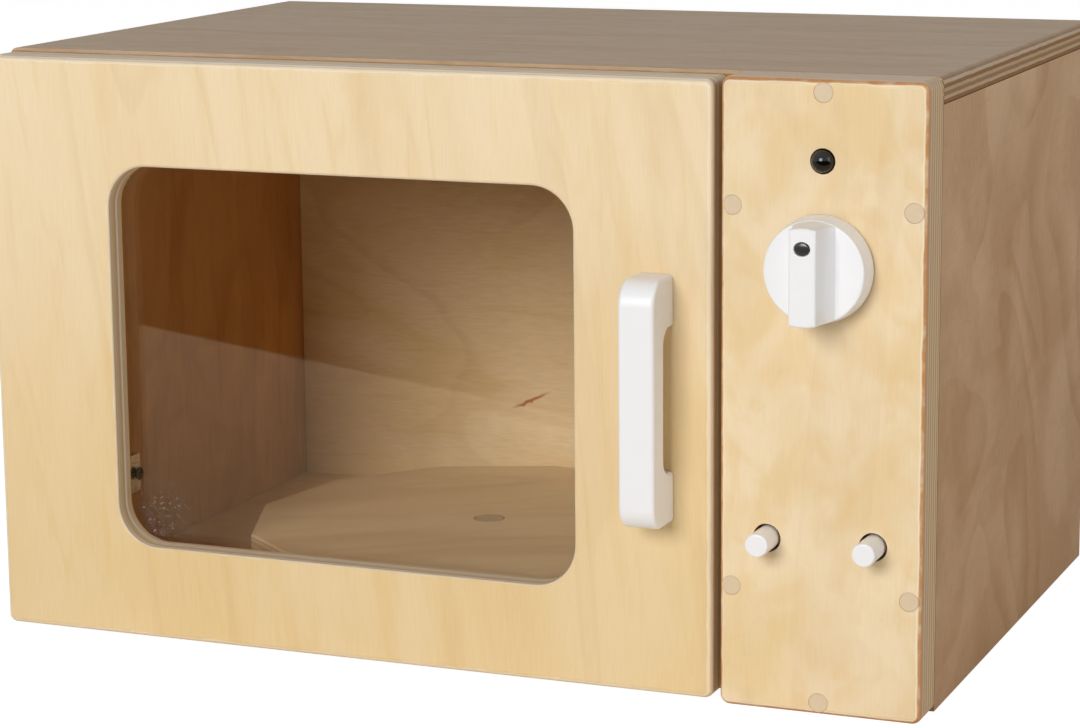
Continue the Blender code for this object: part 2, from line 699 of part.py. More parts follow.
def make_buttons(case, panel):
    """Add both buttons, their springs and the rail that guides their stems."""
    collar_rear = FRONT_PLY + SEAM + COLLAR_THICKNESS
    rail_front = collar_rear + SPRING_LENGTH
    stem_end = rail_front + WALL + STEM_TAIL
    rail = add_board(
        "button_rail",
        (PANEL_LEFT + WALL + SEAM, FRONT + rail_front, BUTTON_RISE - RAIL_HEIGHT / 2),
        (RIGHT - WALL - SEAM, FRONT + rail_front + WALL, BUTTON_RISE + RAIL_HEIGHT / 2))
    profile = [
        (0, BUTTON_PROUD), (BUTTON_RADIUS - BUTTON_CHAMFER, BUTTON_PROUD),
        (BUTTON_RADIUS, BUTTON_PROUD - BUTTON_CHAMFER), (BUTTON_RADIUS, -FRONT_PLY - SEAM),
        (COLLAR_RADIUS, -FRONT_PLY - SEAM), (COLLAR_RADIUS, -collar_rear),
        (STEM_RADIUS, -collar_rear), (STEM_RADIUS, -stem_end), (0, -stem_end)]
    for side, offset in (("left", -BUTTON_SPREAD / 2), ("right", BUTTON_SPREAD / 2)):
        place = Vector((PANEL_MIDDLE + offset, FRONT, BUTTON_RISE))
        drill(
            panel, side + "_button", place, "rear",
            BUTTON_RADIUS + BUTTON_PLAY, FRONT_PLY + OVERRUN, ROUND_STEPS)
        rail_place = place + Vector((0, rail_front, 0))
        drill(rail, side + "_stem", rail_place, "rear", STEM_RADIUS + BORE_PLAY, WALL + OVERRUN)
        button = add_piece(side + "_button", turned_mesh(profile, ROUND_STEPS), "white_plastic")
        stand(button, place, "front")
        make_spring(side + "_button_spring", place, collar_rear, rail_front)


def window_middle():
    """Return the middle of the window opening, in the door's front plane."""
    across = LEFT + HINGE_RAIL + WINDOW_WIDTH / 2
    return Vector((across, DOOR_FRONT, DOOR_FOOT_GAP + SILL_RAIL + WINDOW_HEIGHT / 2))


def make_door():
    """Add the door panel with its window opening, rebate and hinge cup bores."""
    middle = Vector((LEFT + DOOR_WIDTH / 2, DOOR_FRONT, DOOR_FOOT_GAP + DOOR_HEIGHT / 2))
    mesh = slab_mesh(DOOR_WIDTH, DOOR_HEIGHT, FRONT_PLY, CORNER_ROUND, EDGE_ROUND, ARRIS)
    door = stand(add_piece("door_panel", mesh, "birch"), middle)
    levels = [(-OVERRUN, WINDOW_ROUND)]
    levels += [(depth, WINDOW_ROUND - shrink) for depth, shrink in flare_levels()]
    ledge = FRONT_PLY - REBATE_DEPTH
    levels += [(ledge, 0), (ledge, REBATE_WIDTH), (FRONT_PLY + OVERRUN, REBATE_WIDTH)]
    rings = [
        (depth, WINDOW_WIDTH + 2 * grow, WINDOW_HEIGHT + 2 * grow, WINDOW_CORNER + grow)
        for depth, grow in levels]
    boolean(door, stand(add_cutter("window_opening", lofted_mesh(rings)), window_middle()), "DIFFERENCE")
    for name, rise in HINGE_RISES.items():
        drill(
            door, name + "_cup", (LEFT + CUP_INSET, DOOR_REAR, rise), "front",
            CUP_RADIUS + BORE_PLAY, CUP_DEPTH + CUP_FLOOR + SEAM, FINE_STEPS)
    return door


def flare_levels():
    """Return (depth, shrink) pairs of the window's rounded front edge."""
    turns = [math.pi / 2 * step / ROUND_SEGMENTS for step in range(ROUND_SEGMENTS + 1)]
    return [(WINDOW_ROUND * (1 - math.cos(turn)), WINDOW_ROUND * math.sin(turn)) for turn in turns]


def make_window(door):
    """Add the pane in its rebate and the four screws that hold it."""
    width = WINDOW_WIDTH + 2 * (REBATE_WIDTH - PANE_PLAY)
    height = WINDOW_HEIGHT + 2 * (REBATE_WIDTH - PANE_PLAY)
    corner = WINDOW_CORNER + REBATE_WIDTH - PANE_PLAY
    middle = window_middle()
    place = Vector((middle.x, PANE_FRONT, middle.z))
    levels = [(0, width, height, corner), (PANE_THICKNESS, width, height, corner)]
    pane = stand(add_piece("window_pane", lofted_mesh(levels), "acrylic"), place)
    across = (WINDOW_WIDTH + REBATE_WIDTH) / 2
    along = (WINDOW_HEIGHT + REBATE_WIDTH) / 2
    head_place = PANE_FRONT + PANE_THICKNESS + SEAM + PANE_SCREW_HEAD_HEIGHT
    ledge = DOOR_REAR - REBATE_DEPTH
    bite = PANE_SCREW_LENGTH - (head_place - ledge) + SEAM
    pieces = [pane]
    for number, (x, z) in enumerate(((0, along), (-across, 0), (across, 0), (0, -along)), 1):
        spot = Vector((middle.x + x, 0, middle.z + z))
        label = "pane_screw_" + str(number)
        bore = PANE_SCREW_SHANK + BORE_PLAY
        drill(pane, label, (spot.x, PANE_FRONT, spot.z), "rear", bore, PANE_THICKNESS + OVERRUN)
        drill(door, label, (spot.x, ledge, spot.z), "front", bore, bite)
        pieces.append(add_screw(
            label, (spot.x, head_place, spot.z), "rear",
            PANE_SCREW_HEAD, PANE_SCREW_HEAD_HEIGHT, PANE_SCREW_SHANK, PANE_SCREW_LENGTH))
    return pieces


def make_handle(door):
    """Add the bar handle and the two screws that hold it from the back of the door."""
    half = HANDLE_LENGTH / 2
    gap = half - HANDLE_FOOT
    inner = HANDLE_PROUD - HANDLE_BAR
    corners = [
        (SEAM, -half, 0), (HANDLE_PROUD, -half, HANDLE_END_ROUND), (HANDLE_PROUD, half, HANDLE_END_ROUND),
        (SEAM, half, 0), (SEAM, gap, 0), (inner, gap, HANDLE_FINGER_ROUND),
        (inner, -gap, HANDLE_FINGER_ROUND), (SEAM, -gap, 0)]
    mesh = outline_mesh(rounded_outline(corners), HANDLE_WIDTH)
    edge = HANDLE_WIDTH / 2

    def on_cheek(a, b):
        in_cheek = both_at(2, edge)(a, b) or both_at(2, -edge)(a, b)
        return in_cheek and min(a[0], b[0]) > SEAM + MERGE or in_cheek and abs(a[0] - b[0]) > MERGE

    round_edges(mesh, HANDLE_EDGE, on_cheek, 2)
    # The outline's first axis points to the front and its second one up
    mesh.transform(Matrix(((0, 0, -1, 0), (-1, 0, 0, 0), (0, 1, 0, 0), (0, 0, 0, 1))))
    mesh.shade_smooth()
    mesh.set_sharp_from_angle(angle=SMOOTH_ANGLE)
    across = LEFT + DOOR_WIDTH - HANDLE_INSET
    handle = stand(add_piece("door_handle", mesh, "white_plastic"), (across, DOOR_FRONT, HANDLE_RISE))
    pieces = [handle]
    head_place = DOOR_REAR - HANDLE_SCREW_SINK
    sink = HANDLE_SCREW_SINK + SCREW_HEAD_HEIGHT + SEAM
    bore = HANDLE_SCREW_SHANK + BORE_PLAY
    length = FRONT_PLY - HANDLE_SCREW_SINK + HANDLE_SCREW_BITE
    for name, step in (("lower", -1), ("upper", 1)):
        up = HANDLE_RISE + step * (half - HANDLE_FOOT / 2)
        label = name + "_handle_screw"
        drill(handle, label, (across, DOOR_FRONT, up), "front", bore, HANDLE_SCREW_BITE + SEAM)
        drill(door, label, (across, DOOR_REAR, up), "front", bore, FRONT_PLY + OVERRUN)
        head_bore = SCREW_HEAD + BORE_PLAY
        drill(door, label + "_head", (across, DOOR_REAR, up), "front", head_bore, sink, ROUND_STEPS)
        pieces.append(add_screw(
            label, (across, head_place, up), "rear",
            SCREW_HEAD, SCREW_HEAD_HEIGHT, HANDLE_SCREW_SHANK, length))
    return pieces


def make_turntable(case):
    """Add the turntable, its plug, pivot screw and spacer."""
    across = (OVEN_LEFT + PANEL_LEFT) / 2 - TABLE_SHIFT
    along = (SHELL_FRONT + OVEN_REAR) / 2
    underside = WALL + SPACER_HEIGHT + 2 * SEAM
    mesh = cylinder_mesh(TABLE_RADIUS, TABLE_THICKNESS, TABLE_SIDES)
    flat = either(both_at(2, 0), both_at(2, TABLE_THICKNESS))
    round_edges(mesh, TABLE_EDGE, flat, 1)
    table = stand(add_piece("turntable", mesh, "birch"), (across, along, underside))
    table.rotation_euler.z = TABLE_TURN
    top = underside + TABLE_THICKNESS
    head_top = top - TABLE_PLUG_THICKNESS - SEAM
    sink = TABLE_PLUG_THICKNESS + TABLE_SCREW_HEAD_HEIGHT + 2 * SEAM
    bore = TABLE_SCREW_SHANK + BORE_PLAY
    place = (across, along, top)
    drill(table, "table_plug", place, "down", TABLE_PLUG_RADIUS + BORE_PLAY, sink, ROUND_STEPS)
    drill(table, "table_pivot", place, "down", bore, TABLE_THICKNESS + OVERRUN)
    bite = WALL - (head_top - TABLE_SCREW_LENGTH) + SEAM
    drill(case["bottom"], "table_screw", (across, along, WALL), "down", bore, bite)
    plug_mesh = cylinder_mesh(TABLE_PLUG_RADIUS, TABLE_PLUG_THICKNESS, ROUND_STEPS)
    round_edges(plug_mesh, PLUG_BEVEL, both_at(2, TABLE_PLUG_THICKNESS), 1)
    plug_mesh.shade_smooth()
    plug_mesh.set_sharp_from_angle(angle=SMOOTH_ANGLE)
    plug = add_piece("turntable_plug", plug_mesh, "plug_wood")
    stand(plug, (across, along, top - TABLE_PLUG_THICKNESS))
    add_screw(
        "turntable_screw", (across, along, head_top), "up",
        TABLE_SCREW_HEAD, TABLE_SCREW_HEAD_HEIGHT, TABLE_SCREW_SHANK, TABLE_SCREW_LENGTH)
    ring = [(SPACER_RADIUS, SPACER_HEIGHT), (SPACER_RADIUS, 0), (bore, 0), (bore, SPACER_HEIGHT)]
    spacer = add_piece("turntable_spacer", turned_mesh(ring, ROUND_STEPS), "plug_wood")
    stand(spacer, (across, along, WALL + SEAM))
    carry([table, plug], "turntable_turn", (across, along, underside))


def hinge_points():
    """Return the four pivots of a hinge in plan, seen from above.

    "arm" and "nose" lie on the case's arm, "cup" and "tail" in the door's cup.
    The outer link runs from "arm" to "cup" and the inner link from "nose" to
    "tail", where the linkage is open.
    """
    inner = CUP_RADIUS - CUP_WALL
    floor = DOOR_REAR - CUP_DEPTH
    middle = LEFT + CUP_INSET
    arm_chord = math.sqrt(inner ** 2 - ARM_HALF_HEIGHT ** 2)
    link_top = ARM_HALF_HEIGHT - ARM_SHEET - LINK_PLAY
    link_chord = math.sqrt(inner ** 2 - link_top ** 2)
    nose = middle + arm_chord - EYE_RADIUS - NOSE_PLAY
    cup = middle - link_chord + EYE_RADIUS + CUP_PIN_PLAY
    return {
        "arm": Vector((nose - ARM_PIN_STEP, floor + ARM_PIN_RISE)),
        "cup": Vector((cup, floor + CUP_PIN_RISE)),
        "nose": Vector((nose, floor + NOSE_PIN_RISE)),
        "tail": Vector((cup + TAIL_STEP, floor + NOSE_PIN_RISE)),
        "floor": floor,
    }


def link_outline(start, end, hook, half):
    """Return the outline of a link that runs from one pivot to another by way of a hook."""
    def across(first, second):
        way = (second - first).normalized()
        return Vector((-way.y, way.x)) * half

    first, second = across(start, hook), across(hook, end)
    bend = (first + second).normalized() * half
    return [
        (start + first, 0), (hook + bend, half), (end + second, 0),
        (end - second, 0), (hook - bend, half), (start - first, 0)]


def add_bar(name, points, low, high):
    """Return a cutter body with an outline in plan, between two heights."""
    mesh = outline_mesh(points, high - low)
    bar = add_cutter(name, mesh)
    bar.location.z = (low + high) / 2
    return bar


def plan_place(spot, height):
    """Return the world place of a plan point at a height."""
    return Vector((spot.x, spot.y, height))


def add_pin(name, spot, low, high, radius, steps=SMALL_STEPS):
    """Return an upright cutter cylinder at a plan point."""
    return stand(add_cutter(name, cylinder_mesh(radius, high - low, steps)), plan_place(spot, low))


def make_link(name, start, end, end_radius, hook, layers, middle):
    """Add a link made of one or two bars, with an eye at each end and its pin at the start.

    Args: layers are (low, high) heights from the hinge's middle.
    """
    outline = [(p.x, p.y, r) for p, r in link_outline(start, end, hook, LINK_WIDTH / 2)]
    points = rounded_outline(outline, 2)
    low, high = layers[0]
    mesh = outline_mesh(points, high - low)
    link = stand(add_piece(name, mesh, "nickel"), (0, 0, middle + (low + high) / 2))
    bodies = [add_bar(name + "_bar", points, middle + low, middle + high) for low, high in layers[1:]]
    for low, high in layers:
        bodies.append(add_pin(name + "_start", start, middle + low, middle + high, EYE_RADIUS))
        bodies.append(add_pin(name + "_end", end, middle + low, middle + high, end_radius))
    pin_low, pin_high = middle - ARM_HALF_HEIGHT, middle + ARM_HALF_HEIGHT
    bodies.append(add_pin(name + "_pin", start, pin_low, pin_high, PIN_RADIUS))
    for body in bodies:
        boolean(link, body, "UNION")
    return link


def make_cup(name, middle, pivots):
    """Add a hinge cup, its flange trimmed clear of the side panel, with its pin across it."""
    inner = CUP_RADIUS - CUP_WALL
    flange = CUP_RADIUS + FLANGE_WIDTH
    lip = FLANGE_THICKNESS + SEAM
    profile = [
        (0, -CUP_DEPTH - CUP_FLOOR), (CUP_RADIUS, -CUP_DEPTH - CUP_FLOOR), (CUP_RADIUS, SEAM),
        (flange, SEAM), (flange, lip), (inner, lip), (inner, -CUP_DEPTH), (0, -CUP_DEPTH)]
    cup = add_piece(name + "_hinge_cup", turned_mesh(list(reversed(profile)), FINE_STEPS), "nickel")
    stand(cup, (LEFT + CUP_INSET, DOOR_REAR, middle), "rear")
    clear_of = OVEN_LEFT + BORE_PLAY
    block = cuboid_mesh((flange, lip, 2 * flange + OVERRUN))
    trim_place = (clear_of - flange / 2, DOOR_REAR + (lip + SEAM) / 2, middle)
    trim = stand(add_cutter(name + "_flange_trim", block), trim_place)
    boolean(cup, trim, "DIFFERENCE")
    offset = pivots["cup"].x - (LEFT + CUP_INSET)
    reach = math.sqrt(inner ** 2 - offset ** 2) + CUP_WALL / 2
    pin = add_pin(name + "_cup_pin", pivots["cup"], middle - reach, middle + reach, PIN_RADIUS)
    boolean(cup, pin, "UNION")
    return cup


def make_arm(name, middle, pivots):
    """Add a hinge arm: a channel that cranks from its nose in the cup back to the wall."""
    rim = EYE_RADIUS
    nose, pin = pivots["nose"], pivots["arm"]
    web_top = OVEN_LEFT + SEAM + ARM_LIFT
    back = SHELL_FRONT + ARM_REACH
    right = nose.x + rim
    crank_start = SHELL_FRONT + ARM_CRANK_START
    crank_end = SHELL_FRONT + ARM_CRANK_END
    foot = OVEN_LEFT + 2 * ARM_SHEET
    outline = [
        (nose.x - rim, nose.y - rim, NOSE_ROUND), (right, nose.y - rim, NOSE_ROUND),
        (right, crank_start, rim), (web_top, crank_end, rim), (web_top, back, 0),
        (foot, back, 0), (foot, crank_end, rim), (pin.x - rim, pin.y + rim, rim)]
    arm_mesh = outline_mesh(rounded_outline(outline, 3), 2 * ARM_HALF_HEIGHT)
    arm = stand(add_piece(name + "_hinge_arm", arm_mesh, "nickel"), (0, 0, middle))
    far = ARM_REACH
    web_front = pin.y + rim + ARM_SHEET
    hollow = [
        (foot - far, nose.y - far, 0), (right + far, nose.y - far, 0), (right + far, web_front, 0),
        (right - ARM_SHEET, web_front, 0), (right - ARM_SHEET, crank_start, rim),
        (web_top - ARM_SHEET, crank_end, rim), (web_top - ARM_SHEET, back + far, 0),
        (foot - far, back + far, 0)]
    inside = ARM_HALF_HEIGHT - ARM_SHEET
    channel = add_bar(name + "_channel", rounded_outline(hollow, 3), middle - inside, middle + inside)
    boolean(arm, channel, "DIFFERENCE")
    for label in ("nose", "arm"):
        hole = add_pin(
            name + "_" + label + "_hole", pivots[label], middle - ARM_HALF_HEIGHT - OVERRUN,
            middle + ARM_HALF_HEIGHT + OVERRUN, PIN_RADIUS + BORE_PLAY)
        boolean(arm, hole, "DIFFERENCE")
    return arm


def make_plate(name, middle, case, arm):
    """Add the mounting plate on the side panel, its two screws and the arm's screw."""
    width = 2 * (ARM_HALF_HEIGHT - ARM_SHEET - SEAM)
    height = ARM_LIFT - ARM_SHEET - SEAM
    front = SHELL_FRONT + ARM_REACH - PLATE_LENGTH
    low = Vector((OVEN_LEFT + SEAM, front, middle - width / 2))
    mesh = cuboid_mesh((height, PLATE_LENGTH, width))
    plate = add_piece(name + "_hinge_plate", mesh, "zinc")
    stand(plate, low + Vector((height, PLATE_LENGTH, width)) / 2)
    top = low.x + height
    bore = PLATE_SCREW_SHANK + BORE_PLAY
    for label, share in zip(("front", "rear"), PLATE_SCREW_SHARES):
        along = front + PLATE_LENGTH * share
        tag = name + "_plate_screw_" + label
        head_face = OVEN_LEFT - PLATE_SCREW_BITE + PLATE_SCREW_LENGTH
        drill(
            plate, tag, (top, along, middle), "left", PLATE_SCREW_HEAD + BORE_PLAY,
            top - head_face + PLATE_SCREW_HEAD_HEIGHT + SEAM)
        drill(plate, tag + "_shank", (top, along, middle), "left", bore, height + OVERRUN)
        drill(case["left"], tag, (OVEN_LEFT, along, middle), "left", bore, PLATE_SCREW_BITE + SEAM)
        add_screw(
            tag, (head_face, along, middle), "right",
            PLATE_SCREW_HEAD, PLATE_SCREW_HEAD_HEIGHT, PLATE_SCREW_SHANK, PLATE_SCREW_LENGTH)
    along = front + PLATE_LENGTH * ARM_SCREW_SHARE
    face = OVEN_LEFT + SEAM + ARM_LIFT
    tag = name + "_arm_screw"
    bite = ARM_SCREW_LENGTH - PLATE_SCREW_HEAD_HEIGHT - ARM_SHEET - SEAM
    drill(arm, tag, (face, along, middle), "left", bore, ARM_SHEET + OVERRUN)
    drill(plate, tag, (top, along, middle), "left", bore, bite)
    add_screw(
        tag, (face + SEAM + PLATE_SCREW_HEAD_HEIGHT, along, middle), "right",
        PLATE_SCREW_HEAD, PLATE_SCREW_HEAD_HEIGHT, PLATE_SCREW_SHANK, ARM_SCREW_LENGTH, "dark_screw")


def make_hinges(case):
    """Add both concealed hinges and return the pieces that each moving body carries."""
    pivots = hinge_points()
    arm, cup = pivots["arm"], pivots["cup"]
    nose, tail = pivots["nose"], pivots["tail"]
    floor = pivots["floor"]
    half = LINK_WIDTH / 2
    outer_x = arm.x + (cup.x - arm.x) * OUTER_HOOK_SHARE
    inner_x = nose.x + (tail.x - nose.x) * INNER_HOOK_SHARE
    outer_hook = Vector((outer_x + EYE_RADIUS, floor + half + OUTER_LINK_LIFT))
    inner_hook = Vector((inner_x, floor + half + INNER_LINK_LIFT))
    link_top = ARM_HALF_HEIGHT - ARM_SHEET - LINK_PLAY
    link_low = link_top - LINK_SHEET
    carried = {"cups": [], "outer": [], "inner": []}
    for name, middle in HINGE_RISES.items():
        carried["cups"].append(make_cup(name, middle, pivots))
        outer = make_link(
            name + "_outer_link", arm, cup, EYE_RADIUS, outer_hook,
            ((-link_top, -link_low), (link_low, link_top)), middle)
        hole = add_pin(
            name + "_cup_eye_hole", cup, middle - link_top - OVERRUN, middle + link_top + OVERRUN,
            PIN_RADIUS + BORE_PLAY)
        boolean(outer, hole, "DIFFERENCE")
        carried["outer"].append(outer)
        carried["inner"].append(make_link(
            name + "_inner_link", nose, tail, TAIL_RADIUS, inner_hook,
            ((-TONGUE_HALF_HEIGHT, TONGUE_HALF_HEIGHT),), middle))
        arm_piece = make_arm(name, middle, pivots)
        make_plate(name, middle, case, arm_piece)
    return carried, pivots


def build():
    """Add every piece of the toy."""
    case = make_case()
    panel = make_control_panel(case)
    make_dome(panel)
    make_knob(panel)
    make_buttons(case, panel)
    door = make_door()
    door_pieces = [door] + make_window(door) + make_handle(door)
    make_turntable(case)
    carried, pivots = make_hinges(case)
    carry(door_pieces + carried["cups"], "door_swing", plan_place(pivots["cup"], 0))
    carry(carried["outer"], "outer_link_swing", plan_place(pivots["arm"], 0))
    carry(carried["inner"], "inner_link_swing", plan_place(pivots["nose"], 0))
    for label in ("arm", "cup", "nose", "tail"):
        print("pivot", label, tuple(round(value, 5) for value in pivots[label]))


clear_scene()
PARTS = make_collection("toy_microwave")
CUTTERS = make_collection("cutters")
build()
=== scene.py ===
"""Looks of a wooden toy microwave.

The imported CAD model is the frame. This script dresses its pieces, puts finer ones
in the place of those that the eye comes close to, and adds floor, light and camera.
Lengths are in metres, X to the right, Y to the rear and Z up, unless a name says mm.
"""

import json
import logging
import math
from dataclasses import dataclass, field
from enum import Enum
from typing import Any, Callable, Sequence

import bmesh
import bpy
from mathutils import Matrix, Vector

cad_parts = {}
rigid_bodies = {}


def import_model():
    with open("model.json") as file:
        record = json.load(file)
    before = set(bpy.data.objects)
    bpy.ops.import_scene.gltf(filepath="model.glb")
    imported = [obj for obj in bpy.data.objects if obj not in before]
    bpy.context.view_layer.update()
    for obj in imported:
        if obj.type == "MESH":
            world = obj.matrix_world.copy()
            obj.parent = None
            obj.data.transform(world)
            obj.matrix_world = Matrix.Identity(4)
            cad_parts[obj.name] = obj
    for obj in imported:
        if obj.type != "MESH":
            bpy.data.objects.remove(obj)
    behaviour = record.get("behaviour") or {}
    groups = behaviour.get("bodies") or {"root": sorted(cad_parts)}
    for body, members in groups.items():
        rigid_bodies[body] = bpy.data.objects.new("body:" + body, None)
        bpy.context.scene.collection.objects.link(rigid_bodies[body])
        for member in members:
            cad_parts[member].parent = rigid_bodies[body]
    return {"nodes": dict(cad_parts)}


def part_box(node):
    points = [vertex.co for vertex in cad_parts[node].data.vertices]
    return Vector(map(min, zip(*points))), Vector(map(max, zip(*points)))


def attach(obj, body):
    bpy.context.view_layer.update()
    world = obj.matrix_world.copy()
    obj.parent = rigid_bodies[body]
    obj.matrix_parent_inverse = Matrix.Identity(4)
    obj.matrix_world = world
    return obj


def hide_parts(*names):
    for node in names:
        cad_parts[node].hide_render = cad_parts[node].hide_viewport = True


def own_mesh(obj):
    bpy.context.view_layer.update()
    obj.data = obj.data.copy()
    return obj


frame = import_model()
nodes = set(frame["nodes"].values())
for stray in [item for item in bpy.data.objects if item not in nodes and item.type in {"MESH", "LIGHT", "CAMERA"}]:
    bpy.data.objects.remove(stray)
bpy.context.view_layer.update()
LOG = logging.getLogger("toy_microwave")
Tree = bpy.types.NodeTree
Socket = bpy.types.NodeSocket
Spot = tuple[float, float]
EdgeTest = Callable[[Vector, Vector], bool]
SHARP = math.radians(32)
WELD = 0.00001
OVERRUN = 0.002
LEAST_ROUND = 0.0002
EASED_ANGLE = math.radians(40)
LEVELS = ("lower", "upper")


class Axis(Enum):
    """The axes of the frame, by their place in a vector."""

    X = 0
    Y = 1
    Z = 2


class Facing(Enum):
    """Which way a turned piece's own Z axis looks."""

    UP = (0.0, "X")
    FRONT = (math.pi / 2, "X")
    REAR = (-math.pi / 2, "X")
    RIGHT = (math.pi / 2, "Y")


def linear(colour: str) -> tuple[float, float, float, float]:
    """Turn an sRGB hex colour to a linear one.

    Args:
        colour: six hex digits with a leading "#".
    Returns:
        Red, green, blue and an alpha of 1.
    """
    shares = [int(colour[i:i + 2], 16) / 255 for i in (1, 3, 5)]
    red, green, blue = (s / 12.92 if s <= 0.04045 else ((s + 0.055) / 1.055) ** 2.4 for s in shares)
    return red, green, blue, 1.0


def add_node(tree: Tree, kind: str, feeds: dict[Any, Any] | None = None, **settings: Any) -> bpy.types.Node:
    """Add a node with its settings and links.

    Args:
        tree: the tree that it joins.
        kind: its type, without the leading "ShaderNode".
        feeds: a socket to link or a value to set, for each input by name or number.
        settings: the node's own properties.
    Returns:
        The node.
    """
    node = tree.nodes.new("ShaderNode" + kind)
    for name, value in settings.items():
        setattr(node, name, value)
    for key, value in (feeds or {}).items():
        if isinstance(value, Socket):
            tree.links.new(value, node.inputs[key])
        else:
            node.inputs[key].default_value = value
    return node


def new_material(name: str) -> tuple[bpy.types.Material, Tree]:
    """Make a material with an empty tree.

    Args:
        name: the material's name.
    Returns:
        The material and its tree.
    """
    paint = bpy.data.materials.new(name)
    paint.use_nodes = True
    paint.node_tree.nodes.clear()
    return paint, paint.node_tree


@dataclass(frozen=True)
class Figure:
    """The figure of one rotary-cut face veneer. Lengths are in millimetres."""

    across: float = 60.0
    along: float = 110.0
    rings: float = 4.0
    ring_strength: float = 0.3
    ring_rise: float = 0.6
    cloud_across: float = 45.0
    cloud_along: float = 110.0
    cloud_strength: float = 0.6
    streak_across: float = 7.0
    streak_along: float = 60.0
    streak_strength: float = 0.3
    slant: float = 0.0
    honey_from: float = 0.0
    honey_to: float = 1.0
    honey_strength: float = 0.0
    wander: float = 0.8
    fleck: float = 0.2
    seed: float = 0.0


@dataclass(frozen=True)
class Mark:
    """A short resin streak in the oven's side of a board. Lengths are in millimetres."""

    along: float
    across: float
    length: float
    width: float
    lean: float
    colour: str = "#B4602C"
    strength: float = 0.85
    notch: float = 2.0
    raggedness: float = 2.4


@dataclass(frozen=True)
class WoodTones:
    """The colours of a birch board under its lacquer."""

    pale: str = "#EED9B6"
    honey: str = "#E6C996"
    streak: str = "#E0BA78"
    ring: str = "#C39A66"
    ply: str = "#E2CBAE"
    end_grain: str = "#BEA494"
    glue: str = "#7A5A3C"
    scorch: str = "#C07C3C"
    # rim is a painted highlight: the pale line where the round of an arris catches the light
    rim: str = "#FBEFD9"


